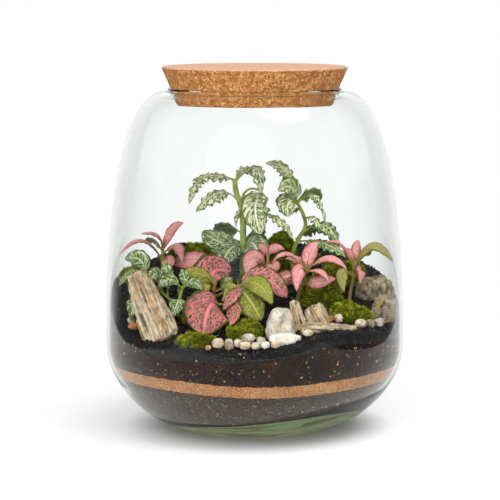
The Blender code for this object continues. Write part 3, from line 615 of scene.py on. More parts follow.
def rock(name, middle, half, turn, kind, cuts, square=2.6, rough=0.1, grain=1.0, taper=0.0, seed=0):
    """A cube rounded towards an ellipsoid and roughened, whose own frame is kept for its grain."""
    bpy.ops.mesh.primitive_cube_add(size=2.0)
    piece = bpy.context.object
    piece.name = name
    bpy.ops.object.mode_set(mode="EDIT")
    bpy.ops.mesh.select_all(action="SELECT")
    bpy.ops.mesh.subdivide(number_cuts=cuts)
    bpy.ops.object.mode_set(mode="OBJECT")
    spin = Euler([math.radians(angle) for angle in turn]).to_matrix()
    own = []
    for vertex in piece.data.vertices:
        at = vertex.co.copy()
        length = sum(abs(c) ** square for c in at) ** (1 / square)
        at = at / length
        spot = Vector((at.x, at.y, at.z * grain)) * ROCK_LUMP_SCALE + Vector((3.1, 1.7, 2.3)) * seed
        swell = 1.0 + rough * noise.noise(spot) * 2.0
        thin = 1.0 - taper * (at.z + 1) / 2
        skin = at.normalized() * relief(kind, at, half, seed)
        stone = Vector((at.x * half[0] * swell * thin, at.y * half[1] * swell,
                        at.z * half[2] * (1 + (swell - 1) * 0.5))) + skin
        own += list((stone + Vector((seed * 9.0, 0, 0))) * MM)
        vertex.co = (spin @ stone + Vector(middle)) * MM
    mark = piece.data.attributes.new("own_place", "FLOAT_VECTOR", "POINT")
    mark.data.foreach_set("vector", own)
    hold(piece)
    bpy.ops.object.shade_smooth()
    return piece


def stone_finish(name, dark, middle, light, warm_tone, drawn, scale, fleck, roughness):
    """Stone whose bands follow its own frame; drawn below 1 stretches them lengthwise."""
    made, start, place = new_finish(name, Roughness=roughness, Specular_IOR_Level=0.3)
    own = start.node("ShaderNodeAttribute", {"attribute_name": "own_place"}, {}, "Vector")
    bands = own.stretched((1.0, 1.0, drawn)).clouds(scale, 5.0)
    lines = own.stretched((1.0, 1.0, drawn)).clouds(scale * 3.4, 3.0)
    blotch = own.clouds(scale * 0.45, 3.0)
    colour = (bands * 0.9 + blotch * 0.35 - 0.12).ramp((0.34, dark), (0.46, middle), (0.60, light))
    colour = (lines.between(0.54, 0.64) * 0.7).tint(colour, dark)
    warm = own.stretched((1.0, 1.0, drawn)).clouds(scale * 0.8, 3.0).between(0.52, 0.66)
    colour = (warm * 0.8).tint(colour, warm_tone)
    colour = (own.clouds(scale * 6, 2.0).between(0.60, 0.72) * 0.5).tint(colour, fleck)
    feed(made, Base_Color=colour, Height=(lines + bands * 0.6 + own.clouds(scale * 8, 3.0) * 0.4, 0.7))
    return made


STONE = {
    "wood": ("wood_stone", stone_finish("petrified_wood", (0.11, 0.085, 0.062), (0.43, 0.335, 0.225),
             (0.76, 0.63, 0.44), (0.66, 0.35, 0.10), 0.07, 420.0, (0.10, 0.07, 0.05), 0.8)),
    "beige": ("pale_stone", stone_finish("beige_stone", (0.30, 0.25, 0.19), (0.52, 0.46, 0.37),
              (0.70, 0.65, 0.56), (0.58, 0.44, 0.27), 0.6, 170.0, (0.25, 0.19, 0.13), 0.66)),
    "white": ("pale_stone", stone_finish("white_stone", (0.58, 0.53, 0.47), (0.80, 0.77, 0.72),
              (0.90, 0.88, 0.84), (0.76, 0.66, 0.54), 0.6, 170.0, (0.45, 0.38, 0.31), 0.6)),
    "cream": ("pale_stone", stone_finish("cream_pebble", (0.48, 0.37, 0.23), (0.72, 0.62, 0.46),
              (0.86, 0.79, 0.67), (0.68, 0.49, 0.28), 1.0, 200.0, (0.38, 0.26, 0.15), 0.6)),
    "orange": ("wood_stone", stone_finish("orange_stone", (0.28, 0.10, 0.04), (0.50, 0.22, 0.10),
               (0.62, 0.36, 0.21), (0.60, 0.26, 0.09), 0.6, 260.0, (0.14, 0.06, 0.03), 0.75)),
    "boulder": ("boulder_stone", stone_finish("grey_boulder", (0.07, 0.055, 0.035), (0.24, 0.20, 0.135),
                (0.44, 0.38, 0.27), (0.40, 0.24, 0.09), 0.45, 300.0, (0.035, 0.027, 0.016), 0.85)),
}
for kit in SET_STONES:
    node = kit.pop("node")
    stone = rock("stone_" + node, cuts=SLAB_CUTS if node == "wood_slab_left" else STONE_CUTS, **kit)
    slot, finish = STONE[kit["kind"]]
    give(stone, slot, finish, stands_for=node)
for number, (node, (x, y), half, turn, kind) in enumerate(LOOSE_STONES):
    stone = rock("stone_" + node, (x, y, 0.0), half, (0, 0, turn), kind, 11, square=2.4, rough=0.12,
                 seed=number + 30)
    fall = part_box(node)[0].z - min(vertex.co.z for vertex in stone.data.vertices)
    for vertex in stone.data.vertices:
        vertex.co.z += fall
    slot, finish = STONE[kind]
    give(stone, slot, finish, stands_for=node)


# Moss
# Cushions of live moss pressed onto the grit. Each is a domed pad set all over with tufts of small pointed leaves,
# bright at their tips and dark between: partly the moss's own paler tips, partly painted highlight on the clump
# crowns and painted shade low down between the tufts.
MOSS_LUMPS = 0.22
MOSS_LUMP_SCALE = 1.9
MOSS_SINK = 3.0
TUFT_SPACING = 1.05
TUFT_LEAVES = 5
CLUMP = 4.6
# Cushions: node, middle, half width, half depth, height, seed
CUSHIONS = [
    ("moss_left", (-102, 18), 14, 15, 12, 1),
    ("moss_back", (-48, 86), 22, 11, 10, 2),
    ("moss_ball", (21, 64), 17, 14, 30, 3),
    ("moss_centre", (2, 20), 16, 13, 20, 4),
    ("moss_behind_stones", (56, -10), 19, 17, 20, 5),
    ("moss_front", (-8, -78), 16, 14, 10, 6),
    ("moss_front_left", (-46, -96), 16, 10, 8, 7),
    ("moss_dark", (-46, -48), 14, 10, 11, 8),
    ("moss_right", (80, -45), 20, 15, 14, 9),
    ("moss_back_right", (76, 42), 20, 17, 13, 10),
]

moss_finish, start, place = new_finish("live_moss", Roughness=0.9, Specular_IOR_Level=0.15)
tone = start.node("ShaderNodeAttribute", {"attribute_name": "tone"}, {}, "Fac")
height = start.node("ShaderNodeAttribute", {"attribute_name": "tip"}, {}, "Fac")
patch = place.clouds(75.0, 3.0)
colour = (tone * 0.9 + patch * 0.6 - 0.2).ramp((0.15, (0.060, 0.080, 0.005)), (0.45, (0.30, 0.34, 0.016)),
                                               (0.85, (0.78, 0.76, 0.080)))
# Painted shade: the pad and the feet of the leaves are darkened towards near-black green.
colour = ((1 - height) * 0.92).tint(colour, (0.022, 0.030, 0.003))
feed(moss_finish, Base_Color=colour)


def tufts(spots, draw):
    """Pointed moss leaves: corners, faces, and each corner's tone and its height in the tuft."""
    corners, faces, tones, tips = [], [], [], []
    for spot, normal, crown in spots:
        # Tufts on the clump crowns get a brighter tone: partly the moss's own colour, partly painted highlight.
        tone = crown * 0.55 + draw.random() * 0.45
        side = normal.orthogonal().normalized()
        ahead = normal.cross(side)
        for number in range(TUFT_LEAVES):
            turn = 2 * math.pi * (number + draw.random() * 0.6) / TUFT_LEAVES
            spread = draw.uniform(0.15, 0.95)
            lean = side * math.cos(turn) + ahead * math.sin(turn)
            aim = (normal + lean * spread).normalized()
            reach = draw.uniform(1.6, 3.4) * (0.6 + 0.6 * crown)
            breadth = draw.uniform(0.28, 0.48)
            across = aim.cross(lean).normalized()
            first = len(corners)
            foot = spot - normal * 0.5
            corners += [foot + across * breadth, foot - across * breadth, foot + lean * breadth,
                        spot + aim * reach]
            faces += [(first, first + 2, first + 3), (first + 2, first + 1, first + 3),
                      (first + 1, first, first + 3), (first, first + 1, first + 2)]
            tones += [tone] * 4
            tips += [0.25, 0.25, 0.25, 1.0]
    return corners, faces, tones, tips


for node, (middle_x, middle_y), half_width, half_depth, rise, seed in CUSHIONS:
    bpy.ops.mesh.primitive_uv_sphere_add(segments=64, ring_count=32, radius=1.0)
    pad = bpy.context.object
    draw = random.Random(seed)
    for vertex in pad.data.vertices:
        at = vertex.co.copy()
        swell = 1.0 + MOSS_LUMPS * noise.noise(at * MOSS_LUMP_SCALE + Vector((seed, 0, 0)))
        swell -= 1.4 / half_width
        x = middle_x + at.x * half_width * swell
        y = middle_y + at.y * half_depth * swell
        lift = rise * max(at.z, 0.0) ** 0.8 * swell if at.z > 0 else MOSS_SINK * at.z
        lift += 3.0 * (0.45 - noise.voronoi(Vector((x, y, lift)) / CLUMP)[0][0])
        vertex.co = Vector((x, y, ground(x, y) + lift)) * MM
    pad.data.update()
    spots = []
    for face in pad.data.polygons:
        centre = face.center / MM
        if centre.z > ground(centre.x, centre.y) - 0.5:
            count = face.area / (MM * TUFT_SPACING) ** 2
            for _ in range(int(count) + (draw.random() < count % 1)):
                jitter = Vector([draw.uniform(-0.7, 0.7) for _ in range(3)])
                from_ground = centre - Vector((0, 0, ground(centre.x, centre.y)))
                crown = 1 - min(noise.voronoi(from_ground / CLUMP)[0][0] / 0.62, 1.0)
                spots.append((centre + jitter, face.normal.copy(), crown))
    corners, faces, tones, tips = tufts(spots, draw)
    corners = [vertex.co.copy() for vertex in pad.data.vertices] + [corner * MM for corner in corners]
    base = len(pad.data.vertices)
    faces = [tuple(face.vertices) for face in pad.data.polygons] + [tuple(i + base for i in f) for f in faces]
    mesh = bpy.data.meshes.new("tufted_" + node)
    mesh.from_pydata(corners, [], faces)
    mesh.attributes.new("tone", "FLOAT", "POINT").data.foreach_set("value", [0.3] * base + tones)
    mesh.attributes.new("tip", "FLOAT", "POINT").data.foreach_set("value", [0.1] * base + tips)
    bpy.data.objects.remove(pad, do_unlink=True)
    cushion = bpy.data.objects.new("tufted_" + node, mesh)
    bpy.context.scene.collection.objects.link(cushion)
    give(cushion, "moss", moss_finish, stands_for=node)


# Nerve plants
# Fittonia with thin soft leaves in pairs on round stems. White-veined plants are green with a cream net;
# pink-veined ones have a broad salmon net with green left between. The blade puckers between its veins.
GRIT_TO_ROOT = 13.5
LEAF_THICKNESS = 0.42
LEAF_ALONG = 32
LEAF_ACROSS = 16
LEAF_RIPPLES = 15
WIDEST_SHIFT = 0.85
VEIN_SWEEP = 0.42
VEIN_PITCH = 4.6
NET_PITCH = {"white": (2.3, 5.6), "pink": (2.1, 3.4)}
UP = (0.0, -0.35, 1.0)
FRONT = (0.0, -1.0, 0.45)
LEFT = (-0.8, -0.7, 0.5)
RIGHT = (0.8, -0.7, 0.5)
BACK = (0.0, 0.8, 0.6)
# Each plant: the stems (points, radius) and the leaves (base, bend, tip, width, facing, extras)
PLANTS = {
    "fittonia_white_tall": dict(veins="white", stems=[
        ([(-10, 38, 0), (-10, 37, 146), (-10, 35, 170), (-12, 34, 184), (-16, 33, 196), (-17, 33, 206)], 2.8),
        ([(-9, 37.5, 140), (1, 38, 162), (6, 36, 177), (11, 34, 190)], 1.7),
        ([(-12, 34, 184), (-7, 33, 196), (1, 33, 197.5), (11, 34, 189)], 1.1),
    ], leaves=[
        ((-17, 33, 204), (-30, 27, 215), (-53, 22, 206), 15, UP, {}),
        ((-12, 34, 184), (-27, 27, 209), (-50, 20, 179), 19, UP, dict(stalk=0.3)),
        ((-17, 34, 205), (-52, 44, 218), (-56, 38, 184), 11, UP, dict(stalk=0.3)),
        ((-17, 34, 204), (-10, 48, 219), (0, 56, 213), 11, UP, {}),
        ((-16, 32, 204), (7, 24, 234), (5, 20, 194), 17, (0.3, -0.4, 1.0), dict(stalk=0.2)),
        ((10, 34, 188), (-6, 20, 196), (5, 12, 161), 25, FRONT, dict(stalk=0.08, fullness=0.5, wave=0.8)),
        ((6, 36, 177), (26, 28, 174), (33, 23, 155), 10, RIGHT, dict(stalk=0.12)),
        ((-11, 35, 178), (-17, 33, 180), (-16, 30, 165), 6, LEFT, {}),
        ((-10, 36, 150), (-22, 26, 146), (-45, 20, 162), 24, FRONT, dict(stalk=0.08, fullness=0.6)),
        ((-9, 36, 150), (3, 20, 158), (2, 6, 138), 26, FRONT, dict(stalk=0.08, fullness=0.6)),
        ((-11, 36, 148), (-22, 18, 154), (-28, 6, 134), 20, FRONT, dict(stalk=0.08, fullness=0.6)),
        ((-10, 37, 150), (0, 56, 166), (6, 72, 152), 18, BACK, {}),
        ((-10, 36, 158), (-26, 52, 170), (-34, 66, 154), 18, BACK, {}),
    ]),
    "fittonia_white_right": dict(veins="white", stems=[
        ([(34, 54, 0), (34, 53, 142), (39, 51, 154), (44, 50, 164), (42, 49, 174), (36, 48, 186)], 1.9),
    ], leaves=[
        ((36, 48, 184), (32, 46, 222), (9, 40, 219), 12, (0.5, -1.0, 0.5), dict(stalk=0.06)),
        ((36, 48, 184), (35, 36, 207), (20, 30, 196), 18, FRONT, dict(stalk=0.06)),
        ((37, 48, 183), (27, 36, 194), (28, 30, 174), 22, FRONT, dict(stalk=0.06, fullness=0.6)),
        ((37, 48, 184), (56, 46, 203), (61, 42, 167), 8, RIGHT, dict(stalk=0.25, wave=0.8)),
        ((43, 49, 170), (54, 42, 178), (56, 36, 159), 10, RIGHT, dict(stalk=0.1)),
        ((40, 51, 156), (64, 42, 180), (72, 34, 147), 17, UP, dict(stalk=0.14)),
        ((37, 52, 150), (62, 34, 156), (78, 22, 140), 15, UP, dict(stalk=0.14)),
        ((36, 49, 184), (50, 60, 200), (58, 72, 184), 16, BACK, dict(stalk=0.1)),
        ((36, 53, 152), (54, 68, 168), (62, 80, 154), 17, BACK, dict(stalk=0.14)),
    ]),
    "fittonia_white_left": dict(veins="white", stems=[
        ([(-63, -36, 0), (-63, -36, 108), (-61, -37, 116), (-59, -38, 124)], 1.6),
        ([(-63, -36, 106), (-78, -34, 120), (-90, -34, 133)], 1.2),
        ([(-63, -36, 103), (-84, -40, 106), (-99, -46, 110)], 1.2),
    ], leaves=[
        ((-89, -34, 132), (-91, -34, 152), (-106, -38, 146), 17, FRONT, dict(stalk=0.1)),
        ((-89, -34, 131), (-104, -30, 144), (-111, -33, 123), 12, UP, {}),
        ((-98, -46, 109), (-97, -52, 120), (-101, -52, 98), 13, FRONT, dict(stalk=0.1)),
        ((-76, -34, 119), (-80, -40, 144), (-86, -46, 128), 13, FRONT, {}),
        ((-72, -35, 114), (-70, -30, 138), (-76, -26, 142), 11, FRONT, {}),
        ((-60, -38, 122), (-70, -44, 138), (-78, -50, 124), 12, FRONT, {}),
        ((-59, -38, 122), (-56, -38, 134), (-61, -34, 137), 9, FRONT, {}),
        ((-59, -38, 122), (-50, -44, 133), (-43, -47, 122), 10, FRONT, {}),
        ((-62, -37, 110), (-60, -56, 122), (-67, -62, 101), 15, FRONT, dict(stalk=0.14)),
        ((-62, -35, 116), (-64, -20, 130), (-72, -10, 126), 12, BACK, {}),
    ]),
    "fittonia_pink_left": dict(veins="pink", stems=[
        ([(-77, 18, 0), (-77, 18, 126), (-78, 18, 136), (-78, 18, 148)], 1.7),
    ], leaves=[
        ((-78, 18, 145), (-74, 18, 170), (-60, 15, 170), 10, (-0.6, -0.8, 0.4), dict(stalk=0.05)),
        ((-78, 18, 145), (-76, 12, 167), (-96, 6, 162), 10, UP, dict(stalk=0.05)),
        ((-78, 18, 136), (-93, 12, 172), (-114, 2, 145), 7, UP, dict(stalk=0.1)),
        ((-78, 17, 143), (-62, 8, 164), (-61, 2, 138), 13, (0.3, -0.6, 0.9), dict(stalk=0.1)),
        ((-78, 16, 138), (-68, 4, 146), (-78, -6, 130), 13, FRONT, dict(stalk=0.1)),
        ((-77, 18, 130), (-52, 8, 150), (-27, 2, 132), 19.5, (0.1, -0.9, 0.7), dict(stalk=0.14)),
        ((-78, 19, 144), (-86, 32, 160), (-94, 42, 150), 11, BACK, {}),
        ((-77, 20, 138), (-68, 36, 154), (-58, 46, 146), 13, BACK, {}),
    ]),
    "fittonia_pink_front": dict(veins="pink", stems=[
        ([(-35, -22, 0), (-35, -22, 110), (-34, -24, 118), (-32, -26, 126)], 1.7),
        ([(-35, -22, 106), (-32, -40, 109), (-28, -54, 111)], 1.3),
        ([(-35, -23, 112), (-22, -38, 120), (-12, -46, 126)], 1.3),
    ], leaves=[
        ((-33, -25, 124), (-40, -20, 140), (-20, -11, 132), 36, FRONT,
         dict(stalk=0.04, fullness=0.45, wave=0.8)),
        ((-33, -25, 123), (-48, -24, 140), (-62, -26, 129), 12, FRONT, dict(stalk=0.08)),
        ((-29, -52, 111), (-39, -72, 120), (-41, -83, 91), 42, FRONT,
         dict(stalk=0.05, fullness=0.5, wave=1.8)),
        ((-28, -52, 111), (-12, -68, 114), (-20, -78, 97), 15, (-0.4, -1.0, 0.5), dict(stalk=0.08)),
        ((-12, -46, 125), (7, -54, 144), (26, -60, 118), 22, FRONT,
         dict(stalk=0.05, fullness=0.55, wave=0.8)),
        ((-12, -46, 125), (4, -62, 138), (14, -68, 113), 17, FRONT, dict(stalk=0.06, fullness=0.7)),
        ((-13, -46, 124), (-15, -62, 126), (-26, -66, 108), 13, (-0.5, -1.0, 0.3), dict(stalk=0.08)),
        ((-34, -25, 118), (-46, -36, 134), (-38, -46, 117), 12, FRONT, {}),
        ((-34, -25, 117), (-10, -38, 130), (-27, -44, 112), 12, FRONT, dict(stalk=0.2)),
        ((-14, -44, 124), (-6, -62, 122), (5, -68, 100), 25, (0.2, -1.0, 0.4),
         dict(stalk=0.06, fullness=0.55)),
    ]),
    "fittonia_pink_centre": dict(veins="pink", stems=[
        ([(11, -4, 0), (11, -4, 122), (11, -4, 144)], 1.4),
    ], leaves=[
        ((11, -4, 134), (-3, -12, 156), (-7, -20, 130), 17, FRONT, dict(stalk=0.1)),
        ((11, -4, 142), (9, -6, 154), (3, -6, 154), 8, FRONT, {}),
        ((11, -4, 142), (14, -4, 156), (25, -3, 150), 9, FRONT, {}),
        ((11, -5, 132), (22, -15, 145), (7, -24, 130), 12, FRONT, dict(stalk=0.1)),
        ((11, -3, 136), (18, 8, 148), (24, 14, 142), 11, BACK, {}),
    ]),
    "fittonia_pink_rosette": dict(veins="pink", stems=[
        ([(34, -29, 0), (34, -29, 106), (38, -32, 122), (43, -36, 139)], 1.7),
    ], leaves=[
        ((43, -36, 137), (43, -37, 154), (52, -34, 160), 13, FRONT, dict(stalk=0.04, fullness=0.7)),
        ((42, -36, 137), (28, -42, 162), (15, -49, 146), 9, UP, dict(stalk=0.06)),
        ((42, -37, 136), (34, -52, 148), (34, -57, 122), 13, FRONT, dict(stalk=0.06)),
        ((43, -36, 136), (60, -44, 160), (75, -48, 139), 13, UP, dict(stalk=0.1)),
        ((43, -37, 135), (54, -48, 144), (60, -54, 130), 8, UP, dict(stalk=0.06)),
        ((42, -36, 134), (32, -46, 138), (21, -50, 131), 7, UP, dict(stalk=0.1)),
        ((38, -33, 124), (48, -42, 128), (66, -50, 132), 12, FRONT, dict(stalk=0.2)),
        ((37, -32, 120), (26, -36, 142), (17, -43, 120), 14, FRONT, dict(stalk=0.1)),
        ((43, -35, 137), (34, -28, 152), (25, -22, 144), 12, UP, dict(stalk=0.06)),
        ((43, -35, 137), (48, -22, 150), (56, -12, 146), 12, BACK, dict(stalk=0.06)),
    ]),
    "fittonia_pink_far": dict(veins="pink", stems=[
        ([(80, -6, 0), (80, -6, 112), (82, -7, 124), (84, -8, 140)], 1.7),
    ], leaves=[
        ((84, -8, 137), (98, -11, 172), (115, -16, 141), 16, UP, dict(stalk=0.05)),
        ((83, -8, 132), (76, -14, 166), (57, -19, 157), 8, UP, dict(stalk=0.1)),
        ((84, -8, 138), (79, -9, 150), (74, -10, 151), 7, FRONT, {}),
        ((84, -8, 138), (84, -5, 152), (87, -2, 158), 8, FRONT, {}),
        ((82, -8, 128), (68, -18, 140), (74, -27, 117), 11, FRONT, dict(stalk=0.1)),
        ((82, -8, 126), (94, -14, 143), (87, -20, 123), 12, RIGHT, dict(stalk=0.1)),
        ((83, -7, 134), (92, 8, 150), (98, 20, 142), 12, BACK, {}),
    ]),
}
# How much of the rosettes' blades the pink takes, from 0 for a plain net to 1 for nearly all
FLUSH = {"fittonia_pink_rosette": 0.92, "fittonia_pink_far": 0.8, "fittonia_pink_left": 0.8,
         "fittonia_pink_centre": 0.8}
# Young olive leaves and older dark ones, by their number in the plant, and how far the edges are frilled
OLIVE = {"fittonia_pink_front": (1, 5, 7, 8, 9), "fittonia_pink_far": (0, 4)}
COLLAR = {"fittonia_white_tall": (8, 9, 10, 11, 12), "fittonia_white_right": (5, 6, 8),
          "fittonia_white_left": (0, 1, 2, 3, 4, 5, 6, 7, 8, 9)}
FRILL = {"fittonia_white_tall": 1.5, "fittonia_white_right": 1.6, "fittonia_white_left": 0.8,
         "fittonia_pink_front": 0.8}


def leaf_finish(name, low, high, vein, width, edge, flushed, rim_tone, underside=None):
    """Leaf skin on the leaf's own UV: along and across count the net's meshes, set out for its real size."""
    made, start, place = new_finish(name, Roughness=0.42, Specular_IOR_Level=0.35)
    sheet = start.node("ShaderNodeUVMap", {"uv_map": "net"}, {})
    whole = start.node("ShaderNodeUVMap", {"uv_map": "whole"}, {})
    tone = start.node("ShaderNodeAttribute", {"attribute_name": "tone"}, {}, "Fac")
    flush = start.node("ShaderNodeAttribute", {"attribute_name": "flush"}, {}, "Fac")
    grown = whole.apart("X")
    side = whole.apart("Y") * 2 - 1
    across = side.maths("ABSOLUTE", side)
    wobble = sheet.node("ShaderNodeVectorMath", {"operation": "MULTIPLY_ADD"},
                        {0: sheet.clouds(0.9, 2.0), 1: (0.5, 0.5, 0.0), 2: sheet})
    mesh_edge = wobble.cells(1.0, "DISTANCE_TO_EDGE")
    fade = across * 0.35 + 0.65
    webbing = 1 - mesh_edge.between(width * 0.55, width * 1.25)
    rib = 1 - across.between(0.035, 0.11)
    veins = webbing * fade
    veins = veins.maths("MAXIMUM", veins, rib)
    rim = (across + place.clouds(260.0) * 0.12).between(0.86, 1.0)
    green = (tone * 0.8 + place.clouds(160.0, 3.0) * 0.5 - 0.2).tint(low, high)
    colour = (veins * (1 - rim)).tint(green, vein)
    blush = flush * (1 - rim) * grown.between(0.02, 0.22)
    specks = place.clouds(900.0, 3.0).between(0.56, 0.66) * 0.5
    rosy = (across * 0.9 + place.clouds(160.0, 3.0) * 0.6 - 0.35).between(0.0, 0.8).tint(flushed, vein)
    colour = blush.tint(colour, specks.tint(rosy, edge))
    colour = (rib * flush * 0.55).tint(colour, edge)
    colour = (rim * 0.85).tint(colour, rim_tone)
    if underside:
        colour = (veins * 0.55).tint((place.clouds(90.0, 3.0) * 0.6 + tone * 0.3).tint(*underside), vein)
    feed(made, Base_Color=colour, Height=(1 - veins * 0.8, 0.45))
    return made


LEAF = {
    "white": ("white_veined_leaf",
              leaf_finish("white_veined_top", (0.050, 0.12, 0.012), (0.15, 0.25, 0.032), (0.90, 0.90, 0.62), 0.135,
                          (0.30, 0.42, 0.12), (0.80, 0.86, 0.60), (0.14, 0.23, 0.035)),
              leaf_finish("white_veined_under", (0.1, 0.2, 0.06), (0.2, 0.3, 0.1), (0.60, 0.66, 0.34), 0.09,
                          (0.2, 0.3, 0.1), (0.5, 0.6, 0.4), (0.14, 0.23, 0.035),
                          ((0.15, 0.235, 0.055), (0.27, 0.36, 0.10)))),
    "collar": ("white_veined_leaf",
               leaf_finish("collar_top", (0.045, 0.100, 0.020), (0.11, 0.19, 0.040), (0.66, 0.70, 0.44), 0.085,
                           (0.30, 0.42, 0.12), (0.80, 0.86, 0.60), (0.060, 0.12, 0.025)),
               leaf_finish("collar_under", (0.1, 0.2, 0.06), (0.2, 0.3, 0.1), (0.50, 0.56, 0.32), 0.07,
                           (0.2, 0.3, 0.1), (0.5, 0.6, 0.4), (0.060, 0.12, 0.025),
                           ((0.10, 0.17, 0.05), (0.18, 0.27, 0.08)))),
    "pink": ("pink_veined_leaf",
             leaf_finish("pink_veined_top", (0.040, 0.070, 0.010), (0.10, 0.13, 0.022), (0.73, 0.20, 0.24), 0.155,
                         (0.50, 0.07, 0.12), (0.84, 0.47, 0.42), (0.10, 0.10, 0.016)),
             leaf_finish("pink_veined_under", (0.1, 0.2, 0.06), (0.2, 0.3, 0.1), (0.62, 0.48, 0.20), 0.10,
                         (0.3, 0.2, 0.1), (0.5, 0.4, 0.2), (0.12, 0.13, 0.022),
                         ((0.13, 0.15, 0.022), (0.26, 0.28, 0.05)))),
    "olive": ("pink_veined_leaf",
              leaf_finish("olive_young_top", (0.13, 0.155, 0.012), (0.27, 0.30, 0.034), (0.46, 0.42, 0.11), 0.075,
                          (0.3, 0.2, 0.1), (0.5, 0.4, 0.2), (0.10, 0.12, 0.015)),
              leaf_finish("olive_young_under", (0.1, 0.2, 0.06), (0.2, 0.3, 0.1), (0.62, 0.56, 0.20), 0.08,
                          (0.3, 0.2, 0.1), (0.5, 0.4, 0.2), (0.10, 0.12, 0.015),
                          ((0.13, 0.17, 0.016), (0.27, 0.31, 0.038)))),
}


def stem_finish(name, low, high):
    made, start, place = new_finish(name, Roughness=0.5, Specular_IOR_Level=0.35)
    feed(made, Base_Color=place.clouds(120.0, 3.0).between(0.35, 0.65).tint(low, high),
         Height=(place.clouds(1200.0, 2.0), 0.2))
    return made


STEM = {"white": stem_finish("green_stem", (0.19, 0.24, 0.028), (0.36, 0.41, 0.085)),
        "pink": stem_finish("red_green_stem", (0.20, 0.20, 0.03), (0.36, 0.20, 0.07))}
STEM["olive"] = STEM["pink"]
STEM["collar"] = STEM["white"]


def tube(points, radius, finish, end_radius=None):
    """A round stem: a smoothly bevelled curve through its points, made a mesh."""
    line = bpy.data.curves.new("stem", "CURVE")
    line.dimensions = "3D"
    line.bevel_depth = radius * MM
    line.bevel_resolution = 3
    line.resolution_u = 6
    line.use_fill_caps = True
    spline = line.splines.new("BEZIER")
    spline.bezier_points.add(len(points) - 1)
    for number, (knot, point) in enumerate(zip(spline.bezier_points, points)):
        knot.co = Vector(point) * MM
        knot.handle_left_type = knot.handle_right_type = "AUTO"
        if end_radius:
            knot.radius = 1 + (end_radius / radius - 1) * number / (len(points) - 1)
    piece = bpy.data.objects.new("stem", line)
    bpy.context.scene.collection.objects.link(piece)
    hold(piece)
    bpy.ops.object.convert(target="MESH")
    piece = bpy.context.object
    piece.data.materials.clear()
    piece.data.materials.append(finish)
    bpy.ops.object.mode_set(mode="EDIT")
    bpy.ops.mesh.select_all(action="SELECT")
    bpy.ops.mesh.remove_doubles(threshold=WELD)
    bpy.ops.object.mode_set(mode="OBJECT")
    bpy.ops.object.shade_smooth()
    return piece


def blade(base, bend, tip, width, facing, veins, tone, flush, stalk=0.14, droop=0.3, wave=0.0,
          fullness=0.8, frill=0.35, seed=0):
    """A leaf: a grid bent along base-bend-tip, puckered between its veins, with its stalk as a tube."""
    bpy.ops.mesh.primitive_grid_add(x_subdivisions=LEAF_ALONG, y_subdivisions=LEAF_ACROSS, size=2.0)
    leaf = bpy.context.object
    base, bend, tip = Vector(base), Vector(bend), Vector(tip)

    def spine(t):
        return base * (1 - t) ** 2 + bend * 2 * t * (1 - t) + tip * t * t

    length = sum((spine((i + 1) / 12) - spine(i / 12)).length for i in range(12)) * (1 - stalk)
    pairs = max(3.0, length / VEIN_PITCH)
    along_pitch, across_pitch = NET_PITCH["white" if veins in ("white", "collar") else "pink"]
    whole = leaf.data.uv_layers[0]
    whole.name = "whole"
    net = leaf.data.uv_layers.new(name="net")
    for loop in leaf.data.loops:
        spot = leaf.data.vertices[loop.vertex_index].co
        grown, v = (spot.x + 1) / 2, -spot.y
        swept = (grown - VEIN_SWEEP * abs(v) ** 1.2 * width / length) * length / along_pitch
        whole.data[loop.index].uv = (grown, (v + 1) / 2)
        net.data[loop.index].uv = (swept + seed * 7, v * width / 2 / across_pitch + (40 if v > 0 else 0))
    for vertex in leaf.data.vertices:
        grown = (vertex.co.x + 1) / 2
        t = stalk + (1 - stalk) * grown
        v = -vertex.co.y
        run = ((bend - base) * (1 - t) + (tip - bend) * t).normalized()
        side = run.cross(Vector(facing)).normalized()
        lift = side.cross(run)
        half = width / 2 * math.sin(math.pi * grown ** WIDEST_SHIFT) ** fullness
        ripple = wave * math.sin(t * LEAF_RIPPLES + seed * 2.1 + (1.3 if v > 0 else 0.0)) * abs(v)
        phase = (grown - VEIN_SWEEP * abs(v) ** 1.2 * width / length) * pairs
        plump = min(half / 6.0, 1.0)
        pucker = -0.38 * math.cos(2 * math.pi * phase) * min(abs(v) * 3, 1.0) * (1 - abs(v) ** 4)
        rib = -0.6 * math.exp(-(v / 0.12) ** 2)
        edge = 1.3 * frill * math.sin(phase * 4.2 + seed * 1.7 + (2.0 if v > 0 else 0.0)) * abs(v) ** 2.5
        half *= 1 + 0.05 * frill * math.cos(phase * 2 * math.pi) * abs(v) ** 3
        vertex.co = (spine(t) + side * v * half
                     + lift * (ripple - droop * half * v * v + (pucker + rib + edge) * plump)) * MM
    for name, value in (("tone", tone), ("flush", flush)):
        mark = leaf.data.attributes.new(name, "FLOAT", "POINT")
        mark.data.foreach_set("value", [value] * len(leaf.data.vertices))
    leaf.data.materials.clear()
    leaf.data.materials.append(LEAF[veins][1])
    leaf.data.materials.append(LEAF[veins][2])
    bpy.ops.object.mode_set(mode="EDIT")
    bpy.ops.mesh.select_all(action="SELECT")
    bpy.ops.mesh.remove_doubles(threshold=WELD)
    bpy.ops.object.mode_set(mode="OBJECT")
    thick = leaf.modifiers.new("thickness", "SOLIDIFY")
    thick.thickness = LEAF_THICKNESS * MM
    thick.offset = 0.0
    thick.material_offset = 1
    apply_modifiers(leaf)
    bpy.ops.object.shade_smooth()
    reach = stalk + 0.22 * (1 - stalk)
    petiole = tube([spine(reach * step / 5) for step in range(6)], 1.0, STEM[veins], 0.35)
    return [leaf, petiole]


